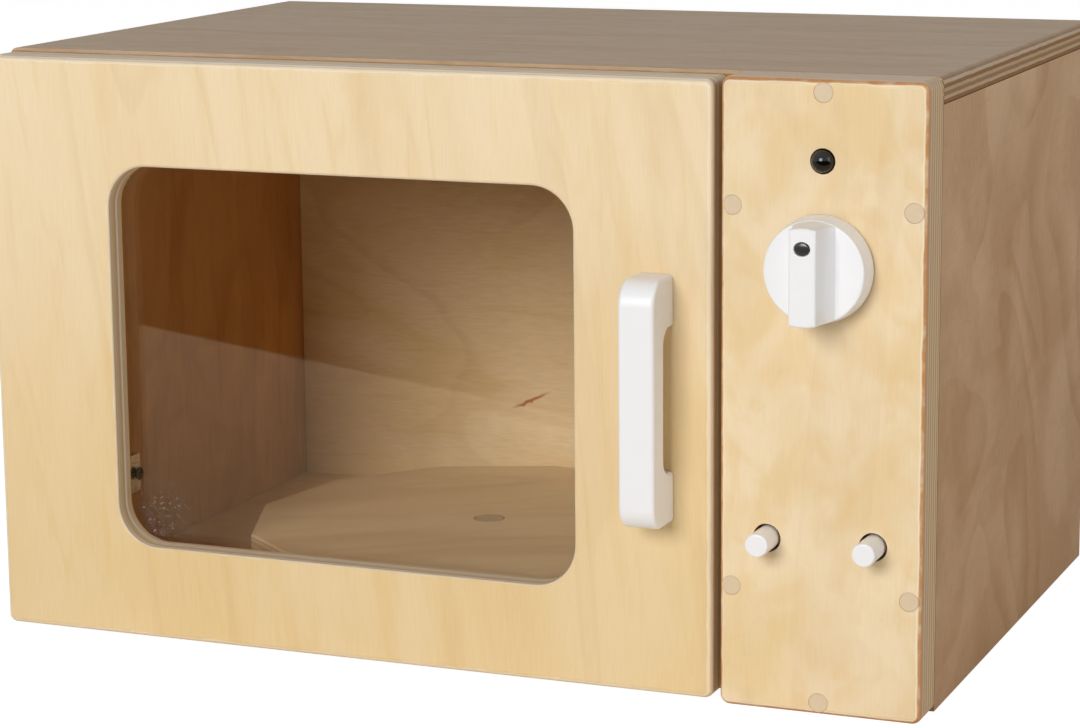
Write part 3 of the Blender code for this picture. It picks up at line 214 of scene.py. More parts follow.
@dataclass(frozen=True)
class BirchPly:
    """Birch plywood, sanded and clear lacquered.

    To the eye: a pale honey face with soft growth lines and fine fibres under a satin
    film, and at a cut edge the plies, light where they lie along it and brown where
    their ends show. It is a solid pattern, so a rounded edge cuts through the plies.
    """

    name: str
    thickness_axis: Axis
    grain_axis: Axis
    face: float
    thickness: float
    plies: int
    figure: Figure = field(default_factory=Figure)
    tones: WoodTones = field(default_factory=WoodTones)
    # Multiplied onto the oven side of the board: a warm tint of painted bounce light, white for none
    painted_bounce_tint: str = "#FFFFFF"
    glue_strength: float = 0.35
    # Depths in millimetres where the scorch line begins, is full, starts to fade and is gone
    scorch_depths: tuple[float, float, float, float] = (0.40, 0.62, 1.25, 2.1)
    scorch_strength: float = 0.0
    # Depths in millimetres where the painted highlight at the arris begins, is full and ends, how long it fades, and
    # its strength
    rim_start: float = 0.17
    rim_full: float = 0.27
    rim_end: float = 0.35
    rim_fade: float = 0.25
    rim_strength: float = 0.0
    shine: float = 0.12
    mark: Mark | None = None
    turn: float = 0.0
    pivot: tuple[float, float, float] = (0.0, 0.0, 0.0)
    # A real fibre is about 0.03 mm wide, too fine to show, so it is drawn coarser
    fibre_mm: float = 0.5
    fibre_length_mm: float = 14.0
    fibre_contrast: float = 0.03

    def material(self) -> bpy.types.Material:
        """Make the material of one board.

        Returns:
            The material.
        """
        tones = self.tones
        paint, tree = new_material(self.name + "_lacquered_birch_ply")
        where = add_node(tree, "TexCoord")
        spot = add_node(tree, "VectorMath", {0: where.outputs["Object"], "Scale": 1000.0}, operation="SCALE")
        if self.turn:
            middle = tuple(1000 * value for value in self.pivot)
            spot = add_node(
                tree, "VectorRotate", {"Vector": spot.outputs[0], "Center": middle, "Angle": self.turn},
                rotation_type="Z_AXIS")
        place = add_node(tree, "SeparateXYZ", {0: spot.outputs[0]}).outputs
        normal = add_node(tree, "SeparateXYZ", {0: where.outputs["Normal"]}).outputs
        cross_axis = 3 - self.thickness_axis.value - self.grain_axis.value
        across, along = place[cross_axis], place[self.grain_axis.value]
        depth, layer, parity, inner, glue = self.layers(tree, spot.outputs[0], place[self.thickness_axis.value])
        fibres = self.fibres(tree, across, along, depth, parity)
        half_mm = abs(self.thickness) * 1000 / 2
        far = add_node(tree, "Math", {0: depth, 1: half_mm}, operation="GREATER_THAN").outputs[0]
        tone = add_node(tree, "TexWhiteNoise", {"W": layer}, noise_dimensions="1D").outputs[0]
        ply = add_node(
            tree, "Mix", {0: tone, 6: linear(tones.ply), 7: linear(tones.honey)}, data_type="RGBA").outputs[2]
        ends_even = add_node(tree, "Math", {0: normal[self.grain_axis.value]}, operation="ABSOLUTE").outputs[0]
        ends_odd = add_node(tree, "Math", {0: normal[cross_axis]}, operation="ABSOLUTE").outputs[0]
        ends = add_node(tree, "Mix", {0: parity, 2: ends_even, 3: ends_odd}).outputs[0]
        ends = add_node(tree, "MapRange", {0: ends, 1: 0.25, 2: 0.95, 3: 0.0, 4: 1.0}).outputs[0]
        # A coat is its share, its colour, and MIX where it covers the wood or MULTIPLY where it stains it
        # The first coat is painted bounce light: a warm tint multiplied onto the oven side
        coats: list[tuple[Socket, Any, str]] = [(far, linear(self.painted_bounce_tint), "MULTIPLY")]
        if self.mark:
            streak = add_node(tree, "Math", {0: self.resin(tree, across, along), 1: far}, operation="MULTIPLY")
            coats.append((streak.outputs[0], linear(self.mark.colour), "MIX"))
        coats += [
            (inner, ply, "MIX"), (ends, linear(tones.end_grain), "MULTIPLY"), (glue, linear(tones.glue), "MIX")]
        # A pale line where the face turns into its round is a painted highlight
        if self.rim_strength:
            coats.append((self.rim(tree, depth), linear(tones.rim), "MIX"))
        if self.scorch_strength:
            coats.append((self.scorch(tree, spot.outputs[0], depth), linear(tones.scorch), "MIX"))
        wood = self.face_colour(tree, across, along)
        for share, colour, blend in coats:
            wood = add_node(
                tree, "Mix", {0: share, 6: wood, 7: colour}, data_type="RGBA", blend_type=blend).outputs[2]
        low, high = 1 - self.fibre_contrast, 1 + self.fibre_contrast * 0.7
        shade = add_node(tree, "MapRange", {0: fibres, 1: 0.3, 2: 0.7, 3: low, 4: high}).outputs[0]
        wood = add_node(tree, "VectorMath", {0: wood, "Scale": shade}, operation="SCALE").outputs[0]
        sheen = add_node(tree, "MapRange", {0: fibres, 1: 0.3, 2: 0.7, 3: 0.50, 4: 0.40}).outputs[0]
        # Lacquer lies 0.02 mm higher on the fibres than between them
        bump = add_node(tree, "Bump", {"Height": fibres, "Distance": 0.00002, "Strength": 0.4})
        shader = add_node(tree, "BsdfPrincipled", {
            "Base Color": wood, "Roughness": sheen, "Normal": bump.outputs[0], "IOR": 1.5,
            "Specular IOR Level": self.shine})
        add_node(tree, "OutputMaterial", {0: shader.outputs[0]})
        return paint

    def layers(self, tree: Tree, spot: Socket, through: Socket) -> tuple[Socket, Socket, Socket, Socket, Socket]:
        """Find which ply a point lies in.

        Args:
            tree: the material's tree.
            spot: the point in millimetres.
            through: its place on the thickness axis.
        Returns:
            Depth in millimetres, ply number, 0 or 1 for along or across the face's
            grain, 1 in an inner ply, and the strength of a glue line.
        """
        # Sanding leaves a ply's line wavering by 0.15 mm over some 9 mm
        waver = add_node(tree, "TexNoise", {"Vector": spot, "Scale": 1 / 9, "Detail": 2.0}).outputs[0]
        waver = add_node(tree, "MapRange", {0: waver, 1: 0.2, 2: 0.8, 3: -0.15, 4: 0.15}).outputs[0]
        side = 1.0 if self.thickness > 0 else -1.0
        depth = add_node(
            tree, "Math", {0: through, 1: side, 2: -side * self.face * 1000}, operation="MULTIPLY_ADD").outputs[0]
        wavy = add_node(tree, "Math", {0: depth, 1: waver}, operation="ADD").outputs[0]
        count = add_node(
            tree, "MapRange",
            {0: wavy, 1: 0.0, 2: abs(self.thickness * 1000), 3: 0.001, 4: self.plies - 0.001}).outputs[0]
        layer = add_node(tree, "Math", {0: count}, operation="FLOOR").outputs[0]
        parity = add_node(tree, "Math", {0: layer, 1: 2.0}, operation="MODULO").outputs[0]
        middle = (self.plies - 1) / 2
        inner = add_node(tree, "Math", {0: layer, 1: middle, 2: middle - 0.5}, operation="COMPARE").outputs[0]
        near = add_node(tree, "Math", {0: count, 1: 0.5}, operation="PINGPONG").outputs[0]
        line = add_node(tree, "MapRange", {0: near, 1: 0.03, 2: 0.14, 3: self.glue_strength, 4: 0.0}).outputs[0]
        within = add_node(
            tree, "Math", {0: count, 1: self.plies / 2, 2: self.plies / 2 - 0.5}, operation="COMPARE").outputs[0]
        glue = add_node(tree, "Math", {0: line, 1: within}, operation="MULTIPLY").outputs[0]
        return wavy, layer, parity, inner, glue

    def resin(self, tree: Tree, across: Socket, along: Socket) -> Socket:
        """Find the board's resin streak, a ragged thin ellipse.

        Args:
            tree: the material's tree.
            across: the place across the face's grain, in millimetres.
            along: the place along it.
        Returns:
            The streak's strength.
        """
        mark = self.mark
        spot = add_node(tree, "CombineXYZ", {0: along, 1: across}).outputs[0]
        ragged = add_node(tree, "TexNoise", {"Vector": spot, "Scale": 1 / mark.notch, "Detail": 3.0}).outputs[1]
        ragged = add_node(tree, "VectorMath", {0: ragged, 1: (0.5, 0.5, 0.5)}, operation="SUBTRACT").outputs[0]
        ragged = add_node(tree, "VectorMath", {0: ragged, "Scale": mark.raggedness}, operation="SCALE").outputs[0]
        spot = add_node(tree, "VectorMath", {0: spot, 1: ragged}, operation="ADD").outputs[0]
        local = add_node(tree, "Mapping", {
            0: spot, "Location": (mark.along, mark.across, 0.0), "Rotation": (0.0, 0.0, mark.lean),
            "Scale": (mark.length / 2, mark.width / 2, 1.0)}, vector_type="TEXTURE").outputs[0]
        flat = add_node(tree, "VectorMath", {0: local, 1: (1.0, 1.0, 0.0)}, operation="MULTIPLY").outputs[0]
        reach = add_node(tree, "VectorMath", {0: flat}, operation="LENGTH").outputs["Value"]
        return add_node(tree, "MapRange", {0: reach, 1: 0.5, 2: 1.1, 3: mark.strength, 4: 0.0}).outputs[0]

    def scorch(self, tree: Tree, spot: Socket, depth: Socket) -> Socket:
        """Find the brown line that the router leaves where its round begins.

        Args:
            tree: the material's tree.
            spot: the point in millimetres.
            depth: its depth in the board.
        Returns:
            The line's strength.
        """
        begins, full, fades, gone = self.scorch_depths
        start = add_node(
            tree, "MapRange", {0: depth, 1: begins, 2: full, 3: 0.0, 4: self.scorch_strength}).outputs[0]
        end = add_node(tree, "MapRange", {0: depth, 1: fades, 2: gone, 3: 1.0, 4: 0.0}).outputs[0]
        broken = add_node(tree, "TexNoise", {"Vector": spot, "Scale": 1 / 6, "Detail": 3.0}).outputs[0]
        broken = add_node(tree, "MapRange", {0: broken, 1: 0.32, 2: 0.55, 3: 0.35, 4: 1.0}).outputs[0]
        band = add_node(tree, "Math", {0: start, 1: end}, operation="MULTIPLY").outputs[0]
        return add_node(tree, "Math", {0: band, 1: broken}, operation="MULTIPLY").outputs[0]

    def rim(self, tree: Tree, depth: Socket) -> Socket:
        """Find the painted highlight, a pale line where a face turns into its rounded edge.

        Args:
            tree: the material's tree.
            depth: the point's depth in the board, in millimetres.
        Returns:
            The line's strength.
        """
        start = add_node(
            tree, "MapRange",
            {0: depth, 1: self.rim_start, 2: self.rim_full, 3: 0.0, 4: self.rim_strength}).outputs[0]
        end = add_node(
            tree, "MapRange",
            {0: depth, 1: self.rim_end, 2: self.rim_end + self.rim_fade, 3: 1.0, 4: 0.0}).outputs[0]
        return add_node(tree, "Math", {0: start, 1: end}, operation="MULTIPLY").outputs[0]

    def spread(self, tree: Tree, spot: Socket, across: float, along: float, **settings: float) -> Socket:
        """Strew spots of a size over the veneer.

        Args:
            tree: the material's tree.
            spot: the point in millimetres.
            across: how wide a spot is in millimetres.
            along: how long it is.
            settings: the noise's own settings, by name.
        Returns:
            How strongly a spot shows, from 0 to 1.
        """
        at = add_node(
            tree, "VectorMath", {0: spot, 1: (1 / across, 1 / along, 0.013)}, operation="MULTIPLY").outputs[0]
        feeds = {"Vector": at, "Scale": 1.0, "Detail": 2.0, "Distortion": self.figure.wander, **settings}
        return add_node(tree, "TexNoise", feeds).outputs[0]

    def face_colour(self, tree: Tree, across: Socket, along: Socket) -> Socket:
        """Colour the face veneer with clouds, streaks, growth lines and flecks.

        Args:
            tree: the material's tree.
            across: the place across the grain, in millimetres.
            along: the place along it.
        Returns:
            The veneer's colour.
        """
        figure, tones = self.figure, self.tones
        leaning = add_node(
            tree, "Math", {0: along, 1: figure.slant, 2: across}, operation="MULTIPLY_ADD").outputs[0]
        spot = add_node(tree, "CombineXYZ", {0: leaning, 1: along, 2: figure.seed * 100}).outputs[0]
        cloud = self.spread(tree, spot, figure.cloud_across, figure.cloud_along, Detail=3.0)
        cloud = add_node(
            tree, "MapRange", {0: cloud, 1: 0.36, 2: 0.66, 3: 0.0, 4: figure.cloud_strength},
            interpolation_type="SMOOTHSTEP").outputs[0]
        # The veneer turns yellower and darker along its grain from honey_from to honey_to, which on the door and the
        # right side is towards the bottom
        honey_ramp = add_node(
            tree, "MapRange",
            {0: along, 1: figure.honey_from, 2: figure.honey_to, 4: figure.honey_strength}).outputs[0]
        cloud = add_node(tree, "Math", {0: cloud, 1: honey_ramp}, operation="ADD", use_clamp=True).outputs[0]
        streak = self.spread(tree, spot, figure.streak_across, figure.streak_along)
        streak = add_node(
            tree, "MapRange", {0: streak, 1: 0.5, 2: 0.78, 3: 0.0, 4: figure.streak_strength},
            interpolation_type="SMOOTHSTEP").outputs[0]
        rings = self.spread(tree, spot, figure.across, figure.along, Detail=1.6, Roughness=0.4)
        run = add_node(tree, "Math", {0: rings, 1: figure.rings}, operation="MULTIPLY").outputs[0]
        step = add_node(tree, "Math", {0: run}, operation="FRACT").outputs[0]
        # A growth line builds up slowly and ends at once
        rise = add_node(
            tree, "MapRange", {0: step, 1: figure.ring_rise, 2: 0.93, 3: 0.0, 4: 1.0},
            interpolation_type="SMOOTHERSTEP").outputs[0]
        drop = add_node(
            tree, "MapRange", {0: step, 1: 0.93, 2: 1.0, 3: 1.0, 4: 0.0}, interpolation_type="SMOOTHSTEP").outputs[0]
        line = add_node(tree, "Math", {0: rise, 1: drop}, operation="MULTIPLY").outputs[0]
        fade = self.spread(tree, spot, 40.0, 50.0)
        fade = add_node(
            tree, "MapRange", {0: fade, 1: 0.35, 2: 0.65, 3: 0.1, 4: figure.ring_strength}).outputs[0]
        line = add_node(tree, "Math", {0: line, 1: fade}, operation="MULTIPLY", use_clamp=True).outputs[0]
        # Pith flecks, 0.5 mm wide and 2.5 mm long
        fleck = self.spread(tree, spot, 0.5, 2.5, Distortion=0.0)
        fleck = add_node(tree, "MapRange", {0: fleck, 1: 0.66, 2: 0.80, 3: 0.0, 4: figure.fleck}).outputs[0]
        colour: Any = linear(tones.pale)
        for share, tone in ((cloud, tones.honey), (streak, tones.streak), (line, tones.ring), (fleck, tones.ring)):
            colour = add_node(tree, "Mix", {0: share, 6: colour, 7: linear(tone)}, data_type="RGBA").outputs[2]
        return colour

    def fibres(self, tree: Tree, across: Socket, along: Socket, depth: Socket, parity: Socket) -> Socket:
        """Draw fine fibres that run with each ply's own grain.

        Args:
            tree: the material's tree.
            across: the place across the face's grain, in millimetres.
            along: the place along it.
            depth: the depth in the board.
            parity: 0 in a ply that runs as the face does, 1 in a crossed one.
        Returns:
            How strongly a fibre shows, from 0 to 1.
        """
        fine, long = 1 / self.fibre_mm, 1 / self.fibre_length_mm
        with_face = add_node(tree, "CombineXYZ", {0: across, 1: along, 2: depth}).outputs[0]
        crossed = add_node(tree, "CombineXYZ", {0: along, 1: across, 2: depth}).outputs[0]
        at = add_node(tree, "Mix", {0: parity, 4: with_face, 5: crossed}, data_type="VECTOR").outputs[1]
        at = add_node(tree, "VectorMath", {0: at, 1: (fine, long, fine)}, operation="MULTIPLY").outputs[0]
        return add_node(tree, "TexNoise", {"Vector": at, "Scale": 1.0, "Detail": 3.0, "Roughness": 0.6}).outputs[0]


@dataclass(frozen=True)
class DowelWood:
    """Cross-cut birch plugs, glued in and sanded flush.

    To the eye: a slightly greyer, darker disc than the board around it, with a thin
    brown line where glue shows at its rim.
    """

    name: str
    radius: float
    face: str = "#DECAAD"
    vein: str = "#D3BC9B"
    rim: str = "#D2B58E"
    rim_strength: float = 0.45
    # Real pores and rays are about 0.1 mm wide, too fine to show, so they are drawn coarser
    vein_mm: tuple[float, float, float] = (0.65, 11.9, 1.59)

    def material(self) -> bpy.types.Material:
        """Make the material. The piece's own origin is the middle of its face.

        Returns:
            The material.
        """
        paint, tree = new_material(self.name + "_sanded_birch_dowel")
        where = add_node(tree, "TexCoord").outputs["Object"]
        fine = tuple(1000 / size for size in self.vein_mm)
        spot = add_node(tree, "VectorMath", {0: where, 1: fine}, operation="MULTIPLY").outputs[0]
        vein = add_node(tree, "TexNoise", {"Vector": spot, "Scale": 1.0, "Detail": 3.0}).outputs[0]
        colour = add_node(
            tree, "Mix", {0: vein, 6: linear(self.face), 7: linear(self.vein)}, data_type="RGBA").outputs[2]
        flat = add_node(tree, "VectorMath", {0: where, 1: (1.0, 1.0, 0.0)}, operation="MULTIPLY").outputs[0]
        reach = add_node(tree, "VectorMath", {0: flat}, operation="LENGTH").outputs["Value"]
        rim = add_node(
            tree, "MapRange",
            {0: reach, 1: self.radius * 0.9, 2: self.radius, 3: 0.0, 4: self.rim_strength}).outputs[0]
        colour = add_node(tree, "Mix", {0: rim, 6: colour, 7: linear(self.rim)}, data_type="RGBA").outputs[2]
        bump = add_node(tree, "Bump", {"Height": vein, "Distance": 0.00002, "Strength": 0.5})
        sheen = add_node(tree, "MapRange", {0: vein, 3: 0.42, 4: 0.55}).outputs[0]
        shader = add_node(tree, "BsdfPrincipled", {
            "Base Color": colour, "Roughness": sheen, "Normal": bump.outputs[0], "IOR": 1.5})
        add_node(tree, "OutputMaterial", {0: shader.outputs[0]})
        return paint


@dataclass(frozen=True)
class MouldedPlastic:
    """ABS, injection moulded in a lightly eroded mould.

    To the eye: one clean colour with a soft satin shine that breaks up a little in
    highlights, because the mould leaves a grain of about 0.3 mm.
    """

    name: str
    colour: str
    cloud: str
    roughness: float = 0.34
    grain_mm: float = 0.3
    grain_depth: float = 0.000006
    cloud_mm: float = 8.33
    shine: float = 0.5

    def material(self) -> bpy.types.Material:
        """Make the material.

        Returns:
            The material.
        """
        paint, tree = new_material(self.name)
        where = add_node(tree, "TexCoord").outputs["Object"]
        grain = add_node(
            tree, "TexNoise", {"Vector": where, "Scale": 1000 / self.grain_mm, "Detail": 2.0}).outputs[0]
        cloud = add_node(
            tree, "TexNoise", {"Vector": where, "Scale": 1000 / self.cloud_mm, "Detail": 3.0}).outputs[0]
        colour = add_node(
            tree, "Mix", {0: cloud, 6: linear(self.colour), 7: linear(self.cloud)}, data_type="RGBA").outputs[2]
        sheen = add_node(
            tree, "MapRange",
            {0: cloud, 1: 0.3, 2: 0.7, 3: self.roughness - 0.03, 4: self.roughness + 0.04}).outputs[0]
        bump = add_node(tree, "Bump", {"Height": grain, "Distance": self.grain_depth, "Strength": 0.6})
        shader = add_node(tree, "BsdfPrincipled", {
            "Base Color": colour, "Roughness": sheen, "Normal": bump.outputs[0], "IOR": 1.5,
            "Specular IOR Level": self.shine})
        add_node(tree, "OutputMaterial", {0: shader.outputs[0]})
        return paint


@dataclass(frozen=True)
class CastAcrylic:
    """Clear cast acrylic sheet, cut and handled.

    To the eye: a clear pane that mirrors what stands before it, with faint hand marks
    that blur the mirror image here and there.
    """

    name: str = "window_clear_cast_acrylic"
    tint: str = "#FCFCFA"
    mark_mm: float = 22.0
    scratch_mm: float = 16.0
    scratch_lines: float = 16.0
    scratch_gap_mm: float = 2.38
    scratched: tuple[float, float, float] = (-0.117, -0.1144, 0.047)
    scratched_core: float = 0.006
    scratched_reach: float = 0.017

    def material(self) -> bpy.types.Material:
        """Make the material. Lamps and bounced light pass it unbent, as through a thin pane.

        Returns:
            The material.
        """
        paint, tree = new_material(self.name)
        where = add_node(tree, "TexCoord").outputs["Object"]
        marks = add_node(tree, "TexNoise", {
            "Vector": where, "Scale": 1000 / self.mark_mm, "Detail": 6.0, "Distortion": 1.5}).outputs[0]
        blur = add_node(tree, "MapRange", {0: marks, 1: 0.55, 2: 0.75, 3: 0.0, 4: 0.05}).outputs[0]
        # Hair scratches lie where a hand has pushed the door open
        lines = add_node(tree, "TexNoise", {
            "Vector": where, "Scale": 1000 / self.scratch_mm, "Detail": 2.0, "Roughness": 0.7,
            "Distortion": 2.5}).outputs[0]
        hair = add_node(tree, "Math", {0: lines, 1: self.scratch_lines}, operation="MULTIPLY").outputs[0]
        hair = add_node(tree, "Math", {0: hair, 1: 0.5}, operation="PINGPONG").outputs[0]
        hair = add_node(tree, "MapRange", {0: hair, 1: 0.0, 2: 0.05, 3: 1.0, 4: 0.0}).outputs[0]
        away = add_node(tree, "VectorMath", {0: where, 1: self.scratched}, operation="DISTANCE").outputs["Value"]
        close = add_node(
            tree, "MapRange",
            {0: away, 1: self.scratched_core, 2: self.scratched_reach, 3: 0.5, 4: 0.0}).outputs[0]
        broken = add_node(
            tree, "TexNoise", {"Vector": where, "Scale": 1000 / self.scratch_gap_mm, "Detail": 1.0}).outputs[0]
        broken = add_node(tree, "MapRange", {0: broken, 1: 0.48, 2: 0.60, 3: 0.0, 4: 1.0}).outputs[0]
        close = add_node(tree, "Math", {0: close, 1: broken}, operation="MULTIPLY").outputs[0]
        hair = add_node(tree, "Math", {0: hair, 1: close}, operation="MULTIPLY").outputs[0]
        passed = add_node(tree, "Math", {0: 1.0, 1: hair}, operation="SUBTRACT").outputs[0]
        glass = add_node(tree, "BsdfPrincipled", {
            "Base Color": linear(self.tint), "Roughness": blur, "IOR": 1.49, "Transmission Weight": passed})
        clear = add_node(tree, "BsdfTransparent", {0: linear(self.tint)})
        path = add_node(tree, "LightPath").outputs
        lit = add_node(
            tree, "Math", {0: path["Is Shadow Ray"], 1: path["Is Diffuse Ray"]}, operation="MAXIMUM").outputs[0]
        both = add_node(tree, "MixShader", {0: lit, 1: glass.outputs[0], 2: clear.outputs[0]})
        add_node(tree, "OutputMaterial", {0: both.outputs[0]})
        return paint


@dataclass(frozen=True)
class PlatedSteel:
    """Pressed or turned steel with a thin plating, nickel, zinc or black oxide.

    To the eye: metal with a soft blurred shine and faint drawing lines, duller where
    fingers and tools have touched it.
    """

    name: str
    colour: str
    worn: str
    roughness: float = 0.28
    # Real drawing lines lie about 0.05 mm apart, too fine to show, so they are drawn coarser
    line_mm: float = 0.2
    wear_mm: float = 3.85

    def material(self) -> bpy.types.Material:
        """Make the material.

        Returns:
            The material.
        """
        paint, tree = new_material(self.name)
        where = add_node(tree, "TexCoord").outputs["Object"]
        fine = 1000 / self.line_mm
        drawn = add_node(tree, "VectorMath", {0: where, 1: (fine, fine / 12, fine)}, operation="MULTIPLY").outputs[0]
        lines = add_node(tree, "TexNoise", {"Vector": drawn, "Scale": 1.0, "Detail": 2.0}).outputs[0]
        wear = add_node(
            tree, "TexNoise", {"Vector": where, "Scale": 1000 / self.wear_mm, "Detail": 4.0}).outputs[0]
        wear = add_node(tree, "MapRange", {0: wear, 1: 0.45, 2: 0.7, 3: 0.0, 4: 0.8}).outputs[0]
        colour = add_node(
            tree, "Mix", {0: wear, 6: linear(self.colour), 7: linear(self.worn)}, data_type="RGBA").outputs[2]
        sheen = add_node(
            tree, "MapRange",
            {0: lines, 1: 0.3, 2: 0.7, 3: self.roughness - 0.05, 4: self.roughness + 0.08}).outputs[0]
        bump = add_node(tree, "Bump", {"Height": lines, "Distance": 0.000008, "Strength": 0.5})
        shader = add_node(tree, "BsdfPrincipled", {
            "Base Color": colour, "Roughness": sheen, "Normal": bump.outputs[0], "Metallic": 1.0})
        add_node(tree, "OutputMaterial", {0: shader.outputs[0]})
        return paint


Finish = BirchPly | DowelWood | MouldedPlastic | CastAcrylic | PlatedSteel
WHITE_ABS = MouldedPlastic("moulded_white_abs", "#F3F3F5", "#EEEEF1")
MARKER_ABS = MouldedPlastic("moulded_charcoal_abs", "#39393B", "#2E2E30", 0.22)
BLACK_ABS = MouldedPlastic("polished_black_abs", "#070606", "#0E0B09", 0.11, grain_depth=0.000001, shine=0.4)
NICKEL = PlatedSteel("pressed_nickel_plated_steel", "#CFCBC2", "#B3ADA2")
SPRING_WIRE = PlatedSteel("nickel_plated_spring_wire", "#C4C1B8", "#9A968C", 0.24)
ZINC = PlatedSteel("zinc_plated_steel", "#C4C6C6", "#A5A49C", 0.36)
BLACK_OXIDE = PlatedSteel("black_oxide_steel", "#2A2724", "#4A443D", 0.40)


def mesh_from(body: bmesh.types.BMesh, name: str = "part") -> bpy.types.Mesh:
    """Turn a bmesh to a mesh with smooth faces and sharp corners.

    Args:
        body: the bmesh, which is freed.
        name: the mesh's name.
    Returns:
        The mesh.
    """
    bmesh.ops.remove_doubles(body, verts=body.verts, dist=WELD)
    bmesh.ops.recalc_face_normals(body, faces=body.faces)
    mesh = bpy.data.meshes.new(name)
    body.to_mesh(mesh)
    body.free()
    mesh.shade_smooth()
    mesh.set_sharp_from_angle(angle=SHARP)
    return mesh


def rounded_outline(corners: Sequence[tuple[float, float, float]], steps: int = 12) -> list[Spot]:
    """Draw an outline with rounded corners.

    Args:
        corners: x, y and radius of each corner in order.
        steps: how many parts an arc has.
    Returns:
        The outline's points.
    """
    points: list[Spot] = []
    for number, (x, y, radius) in enumerate(corners):
        corner = Vector((x, y))
        if radius <= 0:
            points.append((x, y))
            continue
        back = (Vector(corners[number - 1][:2]) - corner).normalized()
        ahead = (Vector(corners[(number + 1) % len(corners)][:2]) - corner).normalized()
        half = back.angle(ahead) / 2
        middle = corner + (back + ahead).normalized() * radius / math.sin(half)
        start = corner + back * radius / math.tan(half) - middle
        sweep = start.angle_signed(corner + ahead * radius / math.tan(half) - middle)
        for step in range(steps + 1):
            spoke = start.copy()
            spoke.rotate(Matrix.Rotation(-sweep * step / steps, 2))
            points.append((middle.x + spoke.x, middle.y + spoke.y))
    return points


def lathe(profile: Sequence[Spot], steps: int = 96) -> bpy.types.Mesh:
    """Turn a profile of (radius, height) points about Z.

    Args:
        profile: the points in order; it is closed where it doesn't start on the axis.
        steps: how many sides the piece has.
    Returns:
        The mesh.
    """
    body = bmesh.new()
    rings = []
    for radius, height in profile:
        if radius <= 0:
            rings.append([body.verts.new((0, 0, height))])
            continue
        turns = (math.tau * step / steps for step in range(steps))
        rings.append([body.verts.new((radius * math.cos(t), radius * math.sin(t), height)) for t in turns])
    pairs = list(zip(rings, rings[1:]))
    if profile[0][0] > 0:
        pairs.append((rings[-1], rings[0]))
    for first, second in pairs:
        for step in range(steps):
            after = (step + 1) % steps
            ring = [first[step % len(first)], first[after % len(first)],
                    second[after % len(second)], second[step % len(second)]]
            body.faces.new(list(dict.fromkeys(ring)))
    return mesh_from(body)


def arc(middle: Spot, radius: float, start: float, end: float, steps: int = 8) -> list[Spot]:
    """Return the points of an arc from one angle to another, in degrees."""
    turns = (math.radians(start + (end - start) * step / steps) for step in range(steps + 1))
    return [(middle[0] + radius * math.cos(turn), middle[1] + radius * math.sin(turn)) for turn in turns]


def loft(rings: Sequence[Sequence[Vector]]) -> bpy.types.Mesh:
    """Skin a row of rings and cap both ends.

    Args:
        rings: the rings in order, each with the same number of points.
    Returns:
        The mesh.
    """
    body = bmesh.new()
    rows = [[body.verts.new(point) for point in ring] for ring in rings]
    for first, second in zip(rows, rows[1:]):
        for step, start in enumerate(first):
            after = (step + 1) % len(first)
            body.faces.new((start, first[after], second[after], second[step]))
    body.faces.new(rows[0])
    body.faces.new(rows[-1])
    return mesh_from(body)


def slab(low: Vector, high: Vector, corner: float, levels: Sequence[Spot]) -> bpy.types.Mesh:
    """Make a board that stands in XZ with rounded corners.

    Args:
        low: its lowest corner.
        high: its highest corner.
        corner: the radius of its four corners.
        levels: (y, how far the outline is drawn in) from the front to the rear.
    Returns:
        The mesh.
    """
    rings = []
    for y, inset in levels:
        left, right, foot, head = low.x + inset, high.x - inset, low.z + inset, high.z - inset
        radius = max(corner - inset, LEAST_ROUND)
        spots = [(left, foot), (right, foot), (right, head), (left, head)]
        rings.append([Vector((x, y, z)) for x, z in rounded_outline([(x, z, radius) for x, z in spots])])
    return loft(rings)


def eased(front: float, rear: float, front_round: float, rear_round: float, steps: int = 8) -> list[Spot]:
    """Draw the levels of a slab whose front and rear edges are rounded.

    Args:
        front: the front face's y.
        rear: the rear face's y.
        front_round: the radius of the front edges.
        rear_round: the radius of the rear edges.
        steps: how many parts an arc has.
    Returns:
        The levels from the front to the rear.
    """
    turns = [math.pi / 2 * step / steps for step in range(steps + 1)]
    levels = [(front + front_round * (1 - math.sin(t)), front_round * (1 - math.cos(t))) for t in reversed(turns)]
    return levels + [(rear - rear_round * (1 - math.sin(t)), rear_round * (1 - math.cos(t))) for t in turns]


def board(low: Vector, high: Vector, rounds: Sequence[tuple[float, EdgeTest]]) -> bpy.types.Mesh:
    """Make a square board and round some of its edges.

    Args:
        low: its lowest corner.
        high: its highest corner.
        rounds: a radius, and a test of an edge's two ends, for each rounding.
    Returns:
        The mesh.
    """
    body = bmesh.new()
    bmesh.ops.create_cube(body, size=1)
    size = high - low
    for vertex in body.verts:
        vertex.co = Vector(c * s for c, s in zip(vertex.co, size)) + (low + high) / 2
    for radius, chosen in rounds:
        picked = [edge for edge in body.edges if chosen(edge.verts[0].co, edge.verts[1].co)]
        bmesh.ops.bevel(
            body, geom=picked, offset=radius, offset_type="OFFSET", segments=8, profile=0.5,
            affect="EDGES", clamp_overlap=True)
    return mesh_from(body)


def prism(points: Sequence[Spot], low: float, high: float) -> bpy.types.Mesh:
    """Make a solid from an outline in XY between two heights."""
    return loft([[Vector((x, y, z)) for x, y in points] for z in (low, high)])


